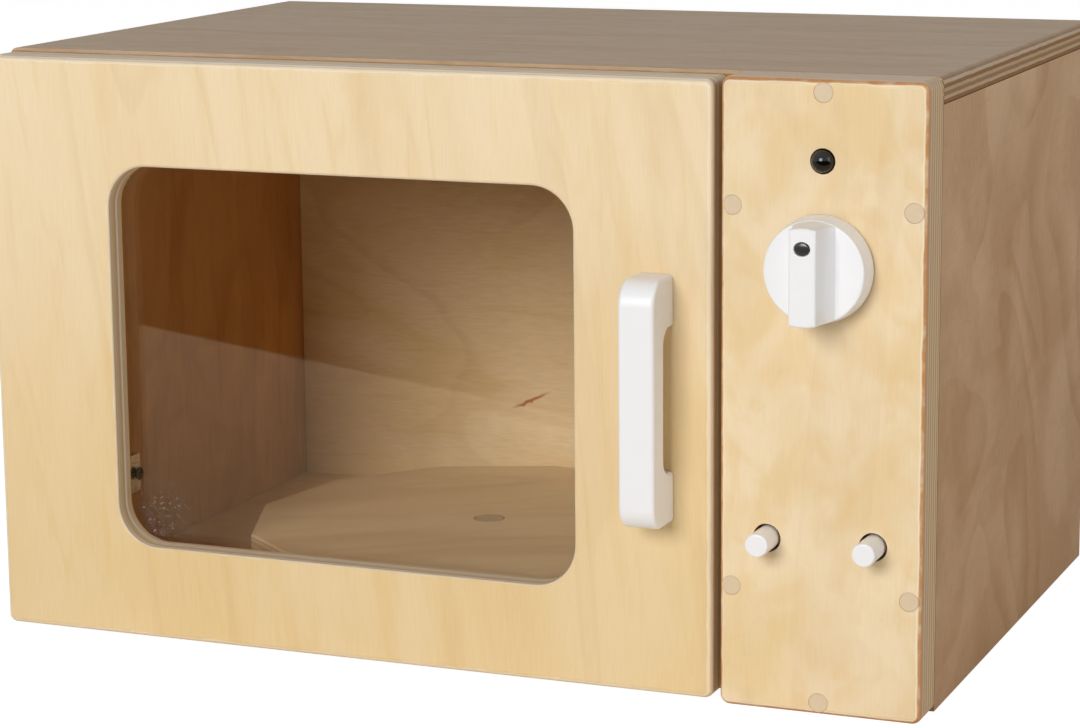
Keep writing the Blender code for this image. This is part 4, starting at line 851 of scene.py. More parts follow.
def coil(radius: float, wire: float, length: float, turns: int) -> bpy.types.Mesh:
    """Wind a compression spring with closed ends.

    Args:
        radius: from its axis to the middle of the wire.
        wire: the wire's radius.
        length: along Z, from the origin.
        turns: how often the wire goes round.
    Returns:
        The mesh.
    """
    steps, sides, closed, closed_pitch = 28, 10, 0.8, 2.1 * wire
    open_length = length - 2 * wire - 2 * closed_pitch * closed
    rings = []
    for step in range(turns * steps + 1):
        gone = step / steps
        near, far = min(gone, closed), max(gone - turns + closed, 0.0)
        middle = min(max(gone - closed, 0.0), turns - 2 * closed) / (turns - 2 * closed)
        rise = wire + closed_pitch * (near + far) + open_length * middle
        out = Vector((math.cos(math.tau * gone), math.sin(math.tau * gone), 0))
        turns_round = [math.tau * side / sides for side in range(sides)]
        rings.append([
            out * (radius + wire * math.cos(t)) + Vector((0, 0, rise + wire * math.sin(t))) for t in turns_round])
    return loft(rings)


def aimed(facing: Facing, place: Sequence[float]) -> Matrix:
    """Return the matrix that puts a turned piece at a place with its Z axis facing a way."""
    angle, axis = facing.value
    return Matrix.Translation(Vector(place)) @ Matrix.Rotation(angle, 4, axis)


def moved(mesh: bpy.types.Mesh, matrix: Matrix) -> bpy.types.Mesh:
    """Move a mesh's points by a matrix and return it."""
    mesh.transform(matrix)
    return mesh


def carve(mesh: bpy.types.Mesh, steps: Sequence[tuple[str, bpy.types.Mesh]]) -> bpy.types.Mesh:
    """Cut, join or trim a mesh with others.

    Args:
        mesh: what is worked on.
        steps: DIFFERENCE, UNION or INTERSECT with the other mesh, in order.
    Returns:
        A new mesh.
    """
    scene = bpy.context.scene.collection
    work = bpy.data.objects.new("work", mesh)
    scene.objects.link(work)
    tools = []
    for operation, other in steps:
        tool = bpy.data.objects.new("tool", other)
        scene.objects.link(tool)
        tools.append(tool)
        cut = work.modifiers.new("cut", "BOOLEAN")
        cut.operation, cut.solver, cut.object = operation, "EXACT", tool
    view = bpy.context.evaluated_depsgraph_get()
    result = bpy.data.meshes.new_from_object(work.evaluated_get(view))
    for item in [work, *tools]:
        bpy.data.objects.remove(item)
    body = bmesh.new()
    body.from_mesh(result)
    return mesh_from(body)


# Painted shade: the top panel's tones are darker than its wood, for the weaker light that falls on the top
TOP_TONES_PAINTED_SHADE = WoodTones(
    pale="#CBB093", honey="#C4A682", streak="#B3906A", ring="#AB8560", ply="#D3BDA3", end_grain="#C4AF9C",
    glue="#86694E")
SIDE_TONES = WoodTones(pale="#DFBD9C", honey="#C7A17F", streak="#BE9268", ring="#AB7C50")
SLAB_TONES = WoodTones(ply="#D9C4B6", end_grain="#DCCFC6")
BACK_TONES = WoodTones(pale="#F8E6C6", honey="#F0D8AB", streak="#E8C68A", ring="#C59A64")
# Painted light: the door's plies and end grain are near white, so that its edges and the window's reveal look brightly
# lit
DOOR_TONES_PAINTED_LIGHT_EDGES = WoodTones(ply="#FAF0E2", end_grain="#F3EAE0")


class SubAssembly:
    """What the sub-assemblies share: dressing CAD nodes and adding finer pieces."""

    body: str = "root"
    finishes: dict[Finish, bpy.types.Material] = {}

    def paint(self, finish: Finish) -> bpy.types.Material:
        """Make a finish's material once and keep it.

        Args:
            finish: the finish.
        Returns:
            Its material.
        """
        if finish not in self.finishes:
            self.finishes[finish] = finish.material()
        return self.finishes[finish]

    def centre(self, node: str, **placed: float) -> Vector:
        """Find the middle of a node.

        Args:
            node: the node's name.
            placed: x, y or z, where it isn't the middle's.
        Returns:
            The point.
        """
        low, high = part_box(node)
        spot = (low + high) / 2
        for axis, value in placed.items():
            setattr(spot, axis, value)
        return spot

    def dress(self, node: str, finish: Finish, ease: float = 0.0) -> None:
        """Give a CAD node its finish.

        Args:
            node: the node's name.
            finish: what it is made of.
            ease: the width of a small bevel on its corners, or 0 for none.
        """
        item = frame["nodes"][node]
        for place in item.material_slots:
            place.material = self.paint(finish)
        if ease:
            weld = item.modifiers.new("weld", "WELD")
            weld.merge_threshold = WELD
            bevel = item.modifiers.new("ease", "BEVEL")
            bevel.width, bevel.segments, bevel.harden_normals = ease, 2, True
            bevel.limit_method, bevel.angle_limit = "ANGLE", EASED_ANGLE
        LOG.info("%s dressed", node)

    def add(self, node: str, mesh: bpy.types.Mesh, finish: Finish, slot: str,
            matrix: Matrix | None = None, body: str | None = None) -> bpy.types.Object:
        """Put a finer piece in the place of a CAD node.

        Args:
            node: the node that it stands for.
            mesh: its mesh.
            finish: what it is made of.
            slot: the record's material slot; not used.
            matrix: where it stands, if the mesh isn't in the frame's own places.
            body: the body that it rides on, if not the sub-assembly's.
        Returns:
            The piece.
        """
        item = bpy.data.objects.new("fine_" + node, mesh)
        bpy.context.scene.collection.objects.link(item)
        item.matrix_world = matrix or Matrix.Identity(4)
        mesh.materials.clear()
        mesh.materials.append(self.paint(finish))
        even = item.modifiers.new("even_normals", "WEIGHTED_NORMAL")
        even.keep_sharp = True
        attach(item, body or self.body)
        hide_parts(node)
        LOG.info("%s stands for %s", item.name, node)
        return item


@dataclass
class Case(SubAssembly):
    """The box of 9 mm ply: six panels glued together."""

    edge_round: float = 0.0028
    foot_ease: float = 0.0006
    plies: int = 7
    resin_streak: Mark = Mark(-61.0, 49.5, 20.0, 1.8, math.radians(25))
    # Warm tints multiplied onto the panels' oven sides, stronger on the walls: painted bounce light
    wall_painted_bounce_tint: str = "#FFE4B8"
    painted_bounce_tint: str = "#FFF4E4"
    shine: float = 0.03
    merge: float = 0.00002

    def at(self, axis: Axis, value: float) -> EdgeTest:
        """Return a test for edges in the plane where a coordinate has a value."""
        i = axis.value
        return lambda a, b: abs(a[i] - value) < self.merge and abs(b[i] - value) < self.merge

    def finish(self, node: str, thick: Axis, grain: Axis, figure: Figure, outer_high: bool,
               tones: WoodTones = WoodTones()) -> BirchPly:
        """Return a panel's ply, its plies counted from the outer face.

        Args:
            node: the panel's node.
            thick: the axis through it.
            grain: the axis that its face grain follows.
            figure: its veneer's figure.
            outer_high: whether its outer face is the higher one on that axis.
            tones: its colours.
        Returns:
            The finish.
        """
        low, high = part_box(node)
        size = high[thick.value] - low[thick.value]
        face = high[thick.value] if outer_high else low[thick.value]
        return BirchPly(
            node, thick, grain, face, -size if outer_high else size, self.plies, figure, tones,
            self.wall_painted_bounce_tint if thick is Axis.X else self.painted_bounce_tint,
            mark=self.resin_streak if node == "back_panel" else None,
            shine=self.shine, fibre_mm=0.8, fibre_length_mm=7.0, fibre_contrast=0.07)

    def build(self) -> None:
        """Build the shells that show and dress the other panels."""
        low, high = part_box("top_panel")
        at_front = self.at(Axis.Y, low.y)
        left, right, rear = self.at(Axis.X, low.x), self.at(Axis.X, high.x), self.at(Axis.Y, high.y)
        head = self.at(Axis.Z, high.z)
        top = board(low, high, [
            (self.edge_round, lambda a, b: (left(a, b) or right(a, b)) and rear(a, b)),
            (self.edge_round, lambda a, b: head(a, b) and not at_front(a, b))])
        top_figure = Figure(
            across=26, along=170, rings=3, ring_strength=0.18, cloud_across=16, cloud_along=80, cloud_strength=0.7,
            streak_across=2.2, streak_along=22, streak_strength=0.45, fleck=0.3, seed=3)
        self.add("top_panel", top, self.finish("top_panel", Axis.Z, Axis.X, top_figure, True, TOP_TONES_PAINTED_SHADE), "birch_ply")
        side_figure = Figure(
            across=110, along=120, rings=7, ring_strength=0.32, cloud_across=60, cloud_along=60, cloud_strength=0.7,
            streak_across=16, streak_along=3, streak_strength=0.2, honey_from=210, honey_to=10, honey_strength=0.6,
            wander=0.5, ring_rise=0.25, seed=12)
        plain = Figure(ring_strength=0.15, seed=5)
        for name, outer, figure in (("right", True, side_figure), ("left", False, Figure(seed=17, ring_strength=0.2))):
            node = name + "_side_panel"
            low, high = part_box(node)
            skin = self.at(Axis.X, high.x if outer else low.x)
            rear, foot = self.at(Axis.Y, high.y), self.at(Axis.Z, low.z)
            mesh = board(low, high, [
                (self.edge_round, lambda a, b: skin(a, b) and rear(a, b)),
                (self.foot_ease, lambda a, b: skin(a, b) and foot(a, b))])
            self.add(node, mesh, self.finish(node, Axis.X, Axis.Z, figure, outer, SIDE_TONES), "birch_ply")
        back_figure = Figure(across=60, along=130, rings=4, ring_strength=0.16, cloud_strength=0.9, seed=23)
        self.dress("back_panel", self.finish("back_panel", Axis.Y, Axis.X, back_figure, True, BACK_TONES))
        self.dress("bottom_panel", self.finish("bottom_panel", Axis.Z, Axis.X, plain, False))
        self.dress("divider_panel", self.finish("divider_panel", Axis.X, Axis.Z, plain, False))


@dataclass
class ControlPanel(SubAssembly):
    """The 18 mm panel with its plugs, dome, knob and buttons."""

    corner: float = 0.0035
    front_round: float = 0.0028
    rear_round: float = 0.0006
    plies: int = 13
    rail_plies: int = 7
    plug_radius: float = 0.00315
    plug_bevel: float = 0.0001
    plug_hole: float = 0.0082
    plug_turn: float = 1.55
    glue_bead: float = 0.00025
    glue_depth: float = 0.0005
    play: float = 0.0003
    dome_radius: float = 0.004
    dome_proud: float = 0.0035
    dome_sink: float = 0.0075
    dome_play: float = 0.0004
    spindle_radius: float = 0.003
    button_play: float = 0.0009
    button_radius: float = 0.0041
    button_round: float = 0.0008
    collar_radius: float = 0.0065
    collar_front: float = -0.0183
    collar_rear: float = -0.0213
    stem_radius: float = 0.0028
    wire: float = 0.0004
    turns: int = 6
    pressed_share: float = 0.38

    def hole(self, place: Vector, radius: float, depth: float) -> tuple[str, bpy.types.Mesh]:
        """Return a carve step: a round hole from the front at a place."""
        tool = lathe([(0, OVERRUN), (radius, OVERRUN), (radius, -depth), (0, -depth)], 64)
        return "DIFFERENCE", moved(tool, aimed(Facing.FRONT, place))

    def middle(self, node: str) -> Vector:
        """Return the middle of a node in the panel's front plane."""
        return self.centre(node, y=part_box("control_panel")[0].y)

    def build(self) -> None:
        """Build the panel and everything set in it."""
        low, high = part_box("control_panel")
        thickness = high.y - low.y
        mesh = slab(low, high, self.corner, eased(low.y, high.y, self.front_round, self.rear_round))
        steps = []
        for number in range(1, 7):
            place = self.middle(f"panel_plug_{number}")
            steps.append(self.hole(place, self.plug_radius + self.play, self.plug_hole))
            self.plug(number, place)
        dome = self.middle("indicator_dome")
        steps.append(self.hole(dome, self.dome_radius + self.dome_play, self.dome_sink + self.play))
        steps.append(self.hole(self.middle("control_knob"), self.spindle_radius + self.play, thickness + OVERRUN))
        for side in ("left", "right"):
            place = self.middle(side + "_button")
            steps.append(self.hole(place, self.button_radius + self.button_play, thickness + OVERRUN))
            self.button(side, place)
        figure = Figure(
            across=40, along=150, rings=2, ring_strength=0.06, cloud_across=26, cloud_along=38, cloud_strength=0.8,
            streak_across=13, streak_along=20, streak_strength=0.3, seed=31)
        # The pale line on the panel's arris is a painted highlight
        ply = BirchPly(
            "control_panel", Axis.Y, Axis.Z, low.y, thickness, self.plies, figure, SLAB_TONES, glue_strength=0.12,
            scorch_strength=0.8, rim_strength=0.6)
        self.add("control_panel", carve(mesh, steps), ply, "birch_ply")
        self.dome()
        for number in range(1, 7):
            self.dress(f"panel_screw_{number}", ZINC)
        low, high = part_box("button_rail")
        self.dress("button_rail", BirchPly(
            "button_rail", Axis.Y, Axis.X, low.y, high.y - low.y, self.rail_plies, Figure(seed=41)))

    def plug(self, number: int, place: Vector) -> None:
        """Add one wood plug with the bead of glue that fills the gap at its rim.

        Args:
            number: which plug it is, from 1 to 6.
            place: the middle of its face.
        """
        r, b, bead = self.plug_radius, self.plug_bevel, self.plug_radius + self.glue_bead
        low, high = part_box(f"panel_plug_{number}")
        end = low.y - high.y
        glue = -self.glue_depth
        mesh = lathe([(0, 0), (bead - b, 0), (bead, -b), (bead, glue), (r, glue), (r, end), (0, end)], 64)
        turned = aimed(Facing.FRONT, place) @ Matrix.Rotation(number * self.plug_turn, 4, "Z")
        self.add(f"panel_plug_{number}", mesh, DowelWood("panel_plug", r), "plug_wood", turned)

    def dome(self) -> None:
        """Add the glossy dome."""
        r = self.dome_radius
        cap = [(r * math.sin(t), self.dome_proud - r * (1 - math.cos(t)))
               for t in (math.pi / 2 * step / 20 for step in range(21))]
        profile = [(0, cap[0][1]), *cap[1:], (r, -self.dome_sink), (0, -self.dome_sink)]
        self.add("indicator_dome", lathe(profile), BLACK_ABS, "black_plastic",
                 aimed(Facing.FRONT, self.middle("indicator_dome")))

    def button(self, side: str, place: Vector) -> None:
        """Add one button with its collar, stem and spring.

        Args:
            side: left or right.
            place: its middle in the panel's front plane.
        """
        low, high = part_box(side + "_button")
        proud = place.y - low.y
        end = place.y - high.y
        r, e = self.button_radius, self.button_round
        collar, stem, front, rear = self.collar_radius, self.stem_radius, self.collar_front, self.collar_rear
        profile = [(0, proud), *reversed(arc((r - e, proud - e), e, 0, 90)), (r, front),
                   (collar, front), (collar, rear), (stem, rear), (stem, end), (0, end)]
        stand = aimed(Facing.FRONT, place)
        self.add(side + "_button", lathe(profile), WHITE_ABS, "white_plastic", stand, side + "_button")
        node, name = side + "_button_spring", side + "_button_press"
        low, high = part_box(node)
        middle = Vector((place.x, high.y, place.z))
        mesh = coil((high.x - low.x) / 2 - self.wire, self.wire, high.y - low.y, self.turns)
        spring = self.add(node, mesh, SPRING_WIRE, "nickel", aimed(Facing.FRONT, middle))
        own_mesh(spring)


@dataclass
class Knob(SubAssembly):
    """The white knob: a drafted disc with a grip bar that flares into it."""

    body: str = "knob"
    radius: float = 0.01835
    draft: float = 0.00075
    disc: float = 0.0087
    edge: float = 0.0007
    standoff: float = 0.001
    bore: float = 0.0033
    skin: float = 0.0012
    grip_height: float = 0.0128
    grip_face: float = 0.0095
    grip_base: float = 0.0152
    grip_end: float = 0.0167
    grip_end_draft: float = 0.0006
    grip_round: float = 0.0009
    flare_power: int = 3
    marker_width: float = 0.0052
    marker_height: float = 0.0044
    marker_depth: float = 0.0008
    marker_proud: float = 0.0003
    marker_crown: float = 0.0005
    marker_play: float = 0.0003
    marker_rise: float = 0.0098

    def grip_section(self) -> list[Spot]:
        """Draw the grip's section: a narrow face with round arrises on a flared base.

        Returns:
            The section's points, with x across the grip and its height from the disc.
        """
        face, base, e = self.grip_face / 2, self.grip_base / 2, self.grip_round
        top = self.grip_height - e
        shares = [step / 16 for step in range(1, 17)]
        flank = [(face + (base - face) * s ** self.flare_power, top * (1 - s)) for s in shares]
        right = list(reversed(arc((face - e, top), e, 0, 90, 6))) + flank + [(base, -self.skin / 2)]
        return right + [(-x, z) for x, z in reversed(right)]

    def build(self) -> None:
        """Build the knob, its marker and the hardware behind it."""
        place = self.centre("control_knob", y=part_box("control_panel")[0].y - self.standoff)
        rim = self.radius - self.draft
        end = self.disc - self.skin
        profile = [(0, self.disc), *reversed(arc((rim - self.edge, self.disc - self.edge), self.edge, 0, 90, 6)),
                   (self.radius, 0), (self.bore, 0), (self.bore, end), (0, end)]
        grip = prism(self.grip_section(), -self.radius, self.radius)
        stood = moved(grip, Matrix.Translation((0, 0, self.disc)) @ Matrix.Rotation(math.pi / 2, 4, "X"))
        top, e = self.grip_height + OVERRUN, self.grip_round
        reach = self.grip_end
        trim = lathe([
            (0, top), (reach - e - OVERRUN, top), *reversed(arc((reach - e, self.grip_height - e), e, 0, 75, 6)),
            (reach + self.grip_end_draft, 0), (reach + self.grip_end_draft, -self.disc), (0, -self.disc)])
        grip = carve(stood, [("INTERSECT", moved(trim, Matrix.Translation((0, 0, self.disc))))])
        oval = Matrix.Diagonal((1, self.marker_height / self.marker_width, 1, 1))
        seat = Matrix.Translation((0, self.marker_rise, self.disc + self.grip_height)) @ oval
        half = self.marker_width / 2
        wide, deep = half + self.marker_play, -self.marker_depth - self.marker_play
        pocket = lathe([(0, OVERRUN), (wide, OVERRUN), (wide, deep), (0, deep)], 64)
        mesh = carve(lathe(profile, 128), [("UNION", grip), ("DIFFERENCE", moved(pocket, seat))])
        stand = aimed(Facing.FRONT, place)
        self.add("control_knob", mesh, WHITE_ABS, "white_plastic", stand)
        p, b = self.marker_proud, self.marker_crown
        crown = [(half * math.sin(t), p - b * (1 - math.cos(t))) for t in (math.pi / 2 * s / 10 for s in range(1, 11))]
        marker = lathe([(0, p), *crown, (half, -self.marker_depth), (0, -self.marker_depth)], 64)
        self.add("knob_marker", moved(marker, seat), MARKER_ABS, "black_plastic", stand)
        self.dress("knob_spindle", ZINC)
        self.dress("knob_washer", ZINC)
        self.dress("knob_screw", ZINC)


@dataclass
class CrossScrew:
    """A wood screw with a cross recess, seen by its head."""

    head: float
    head_height: float
    shank: float
    length: float
    recess_share: float = 0.62
    recess_depth_share: float = 0.75
    wing_share: float = 0.11
    face_share: float = 0.96
    face_bevel: float = 0.00012
    edge_share: float = 0.3
    point: float = 0.003

    def mesh(self) -> bpy.types.Mesh:
        """Turn the screw and cut its cross.

        Returns:
            The mesh, with the middle of the head's face at the origin and Z outwards.
        """
        r, h, s = self.head, self.head_height, self.shank
        edge, end = -h * self.edge_share, -self.length
        body = lathe([
            (0, 0), (r * self.face_share, 0), (r, -self.face_bevel), (r, edge), (s, -h), (s, end + self.point),
            (0, end)], 48)
        wing, half, deep = r * self.recess_share, r * self.wing_share, h * self.recess_depth_share
        wide = [(-wing, -half), (wing, -half), (wing, half), (-wing, half)]
        tall = [(-half, -wing), (half, -wing), (half, wing), (-half, wing)]
        return carve(body, [("DIFFERENCE", prism(wide, -deep, OVERRUN)), ("DIFFERENCE", prism(tall, -deep, OVERRUN))])


@dataclass
class Door(SubAssembly):
    """The 18 mm door with its window, handle and hinge cups."""

    body: str = "door"
    corner: float = 0.0032
    front_round: float = 0.0028
    rear_round: float = 0.0006
    plies: int = 13
    hinge_rail: float = 0.0503
    handle_rail: float = 0.051
    sill_rail: float = 0.0352
    head_rail: float = 0.0389
    window_corner: float = 0.0158
    window_round: float = 0.0012
    rebate_width: float = 0.008
    rebate_depth: float = 0.008
    cup_inset: float = 0.0225
    cup_radius: float = 0.0175
    cup_depth: float = 0.0115
    cup_floor: float = 0.001
    cup_wall: float = 0.0015
    flange: float = 0.0025
    flange_thickness: float = 0.0006
    seam: float = 0.0003
    handle_proud: float = 0.020
    handle_bar: float = 0.011
    handle_foot: float = 0.018
    handle_end_round: float = 0.009
    finger_round: float = 0.006
    handle_edge: float = 0.0014
    handle_hole: float = 0.0022
    handle_sink: float = 0.0033
    handle_sink_depth: float = 0.003
    handle_hole_depth: float = 0.03
    flange_left: float = -0.1707
    cup_pivot: tuple[float, float] = (-0.16887, -0.1109)
    pin_radius: float = 0.001
    cup_bend: float = 0.0006
    flange_bevel: float = 0.0002
    screw_turn: float = 0.5
    # Head radius, head height and shank radius
    pane_screw: tuple[float, float, float] = (0.0022, 0.0012, 0.0011)
    handle_screw: tuple[float, float, float] = (0.003, 0.0022, 0.0019)

    def window_levels(self, front: float, rear: float) -> list[Spot]:
        """Draw the opening's levels: a rounded front edge, a plain wall and the rebate.

        Args:
            front: the front face's y.
            rear: the rear face's y.
        Returns:
            The levels from the front to the rear.
        """
        r = self.window_round
        turns = [math.pi / 2 * step / 6 for step in range(7)]
        flare = [(front + r * (1 - math.cos(t)), -r * (1 - math.sin(t))) for t in turns]
        ledge = rear - self.rebate_depth
        rebate = [(ledge, -self.rebate_width), (rear + OVERRUN, -self.rebate_width)]
        return [(front - OVERRUN, -r), *flare, (ledge, 0), *rebate]

    def build(self) -> None:
        """Build the door and all that it carries."""
        low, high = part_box("door_panel")
        mesh = slab(low, high, self.corner, eased(low.y, high.y, self.front_round, self.rear_round))
        sill = Vector((low.x + self.hinge_rail, 0, low.z + self.sill_rail))
        head = Vector((high.x - self.handle_rail, 0, high.z - self.head_rail))
        opening = slab(sill, head, self.window_corner, self.window_levels(low.y, high.y))
        steps = [("DIFFERENCE", opening)]
        for level in LEVELS:
            place = self.centre(level + "_hinge_cup", x=low.x + self.cup_inset, y=high.y)
            deep = self.cup_depth + self.cup_floor + self.seam
            wide = self.cup_radius + self.seam
            bore = lathe([(0, OVERRUN), (wide, OVERRUN), (wide, -deep), (0, -deep)])
            steps.append(("DIFFERENCE", moved(bore, aimed(Facing.REAR, place))))
            self.cup(level, place)
            steps.append(self.screw_hole(level + "_handle_screw", high.y))
        figure = Figure(
            across=40, along=330, rings=3, ring_strength=0.10, cloud_across=40, cloud_along=120, cloud_strength=0.4,
            streak_across=7, streak_along=55, streak_strength=0.28, slant=0.12, honey_from=200, honey_to=60,
            honey_strength=0.6, seed=7)
        # The pale line on the door's arris is a painted highlight
        ply = BirchPly(
            "door_panel", Axis.Y, Axis.Z, low.y, high.y - low.y, self.plies, figure, DOOR_TONES_PAINTED_LIGHT_EDGES, glue_strength=0.12,
            rim_strength=0.55, rim_end=0.9)
        self.add("door_panel", carve(mesh, steps), ply, "birch_ply")
        self.dress("window_pane", CastAcrylic())
        self.handle()
        for number in range(1, 5):
            self.screw(f"pane_screw_{number}", self.pane_screw)
        for level in LEVELS:
            self.screw(level + "_handle_screw", self.handle_screw)

    def screw_hole(self, node: str, rear: float) -> tuple[str, bpy.types.Mesh]:
        """Cut a handle screw's hole and its head's recess in the door's back.

        Args:
            node: the screw's node.
            rear: the y of the door's back.
        Returns:
            The step for carve.
        """
        place = self.centre(node, y=rear)
        wide, narrow, sink, end = self.handle_sink, self.handle_hole, -self.handle_sink_depth, -self.handle_hole_depth
        profile = [(0, OVERRUN), (wide, OVERRUN), (wide, sink), (narrow, sink), (narrow, end), (0, end)]
        return "DIFFERENCE", moved(lathe(profile, 48), aimed(Facing.REAR, place))

    def screw(self, node: str, sizes: tuple[float, float, float]) -> None:
        """Add a cross-recessed screw that is driven from the door's back.

        Args:
            node: the screw's node.
            sizes: its head's radius and height, and its shank's radius.
        """
        low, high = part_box(node)
        screw = CrossScrew(*sizes, high.y - low.y)
        stand = aimed(Facing.REAR, self.centre(node, y=high.y)) @ Matrix.Rotation(self.screw_turn, 4, "Z")
        self.add(node, screw.mesh(), ZINC, "zinc", stand)

    def cup(self, level: str, place: Vector) -> None:
        """Add a pressed hinge cup with its flange and pin.

        Args:
            level: lower or upper.
            place: the middle of the cup in the plane of the door's back.
        """
        inner, deep, lip = self.cup_radius - self.cup_wall, self.cup_depth, self.flange_thickness + self.seam
        rim = self.cup_radius + self.flange
        bend, bevel = self.cup_bend, self.flange_bevel
        profile = [
            (0, -deep - self.cup_floor), (self.cup_radius, -deep - self.cup_floor), (self.cup_radius, self.seam),
            (rim, self.seam), (rim, lip - bevel), (rim - bevel, lip),
            *arc((inner + bend, lip - bend), bend, 90, 180, 5),
            *reversed(arc((inner - bend, -deep + bend), bend, -90, 0, 5)), (0, -deep)]
        mesh = moved(lathe(profile, 128), aimed(Facing.REAR, place))
        # The flange is cut off where it would reach into the side panel
        trim = board(
            Vector((place.x - 2 * rim, place.y + self.seam / 2, place.z - 2 * rim)),
            Vector((self.flange_left, place.y + rim, place.z + 2 * rim)), [])
        pivot = Vector(self.cup_pivot)
        reach = math.sqrt(inner ** 2 - (pivot.x - place.x) ** 2) + self.cup_wall / 2
        pin = lathe([(0, reach), (self.pin_radius, reach), (self.pin_radius, -reach), (0, -reach)], 32)
        pin = moved(pin, Matrix.Translation((pivot.x, pivot.y, place.z)))
        self.add(level + "_hinge_cup", carve(mesh, [("DIFFERENCE", trim), ("UNION", pin)]), NICKEL, "nickel")

    def handle(self) -> None:
        """Add the bar handle with its large outer rounds and its finger gap."""
        low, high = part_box("door_handle")
        half, gap = (high.z - low.z) / 2, (high.z - low.z) / 2 - self.handle_foot
        inner, proud = self.handle_proud - self.handle_bar, self.handle_proud
        corners = [
            (self.seam, -half, 0), (proud, -half, self.handle_end_round), (proud, half, self.handle_end_round),
            (self.seam, half, 0), (self.seam, gap, 0), (inner, gap, self.finger_round),
            (inner, -gap, self.finger_round), (self.seam, -gap, 0)]
        width = high.x - low.x
        body = bmesh.new()
        body.from_mesh(prism(rounded_outline(corners, 14), -width / 2, width / 2))
        cheek = [
            edge for edge in body.edges
            if abs(edge.verts[0].co.z - edge.verts[1].co.z) < WELD
            and max(edge.verts[0].co.x, edge.verts[1].co.x) > self.seam + WELD]
        bmesh.ops.bevel(
            body, geom=cheek, offset=self.handle_edge, offset_type="OFFSET", segments=6, profile=0.5,
            affect="EDGES", clamp_overlap=True)
        mesh = mesh_from(body)
        place = self.centre("door_handle", y=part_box("door_panel")[0].y)
        upright = Matrix(((0, 0, -1, 0), (-1, 0, 0, 0), (0, 1, 0, 0), (0, 0, 0, 1)))
        self.add("door_handle", moved(mesh, upright), WHITE_ABS, "white_plastic", Matrix.Translation(place))


@dataclass
class Turntable(SubAssembly):
    """The twelve-sided plate that turns on the oven's floor."""

    body: str = "turntable"
    plies: int = 7
    plug_radius: float = 0.006
    plug_bevel: float = 0.0003
    grain_turn: float = math.radians(52)

    def build(self) -> None:
        """Dress the plate and add its plug."""
        low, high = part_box("turntable")
        figure = Figure(across=50, along=150, rings=3, ring_strength=0.2, seed=53)
        tones = WoodTones(pale="#F0D3A8", honey="#E6C292")
        self.dress("turntable", BirchPly(
            "turntable", Axis.Z, Axis.Y, high.z, low.z - high.z, self.plies, figure, tones, turn=self.grain_turn,
            pivot=tuple(self.centre("turntable"))))
        plug_low, plug_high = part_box("turntable_plug")
        r, b, deep = self.plug_radius, self.plug_bevel, plug_low.z - plug_high.z
        mesh = lathe([(0, 0), (r - b, 0), (r, -b), (r, deep), (0, deep)], 64)
        place = self.centre("turntable_plug", z=plug_high.z)
        self.add("turntable_plug", mesh, DowelWood("turntable_plug", r, "#CDB28A", "#BC9C72", "#8E6A42"), "plug_wood",
                 aimed(Facing.UP, place))
        self.dress("turntable_screw", ZINC)
        # The spacer has no glued rim, so its rim lies far outside it
        self.dress("turntable_spacer", DowelWood("turntable_spacer", 1.0))


@dataclass
class Hinges(SubAssembly):
    """Two concealed cup hinges: arms, links, plates and their screws."""

    ease: float = 0.00018
    # Head radius, head height and shank radius
    arm_screw: tuple[float, float, float] = (0.0026, 0.0016, 0.0014)

    def build(self) -> None:
        """Dress the pressed pieces and add the arm screws."""
        for level in LEVELS:
            for part in ("hinge_arm", "outer_link", "inner_link"):
                self.dress(f"{level}_{part}", NICKEL, self.ease)
            self.dress(f"{level}_hinge_plate", ZINC, self.ease)
            for end in ("front", "rear"):
                self.dress(f"{level}_plate_screw_{end}", ZINC)
            low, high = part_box(f"{level}_arm_screw")
            screw = CrossScrew(*self.arm_screw, high.x - low.x)
            stand = aimed(Facing.RIGHT, self.centre(f"{level}_arm_screw", x=high.x))
            self.add(f"{level}_arm_screw", screw.mesh(), BLACK_OXIDE, "dark_screw", stand)


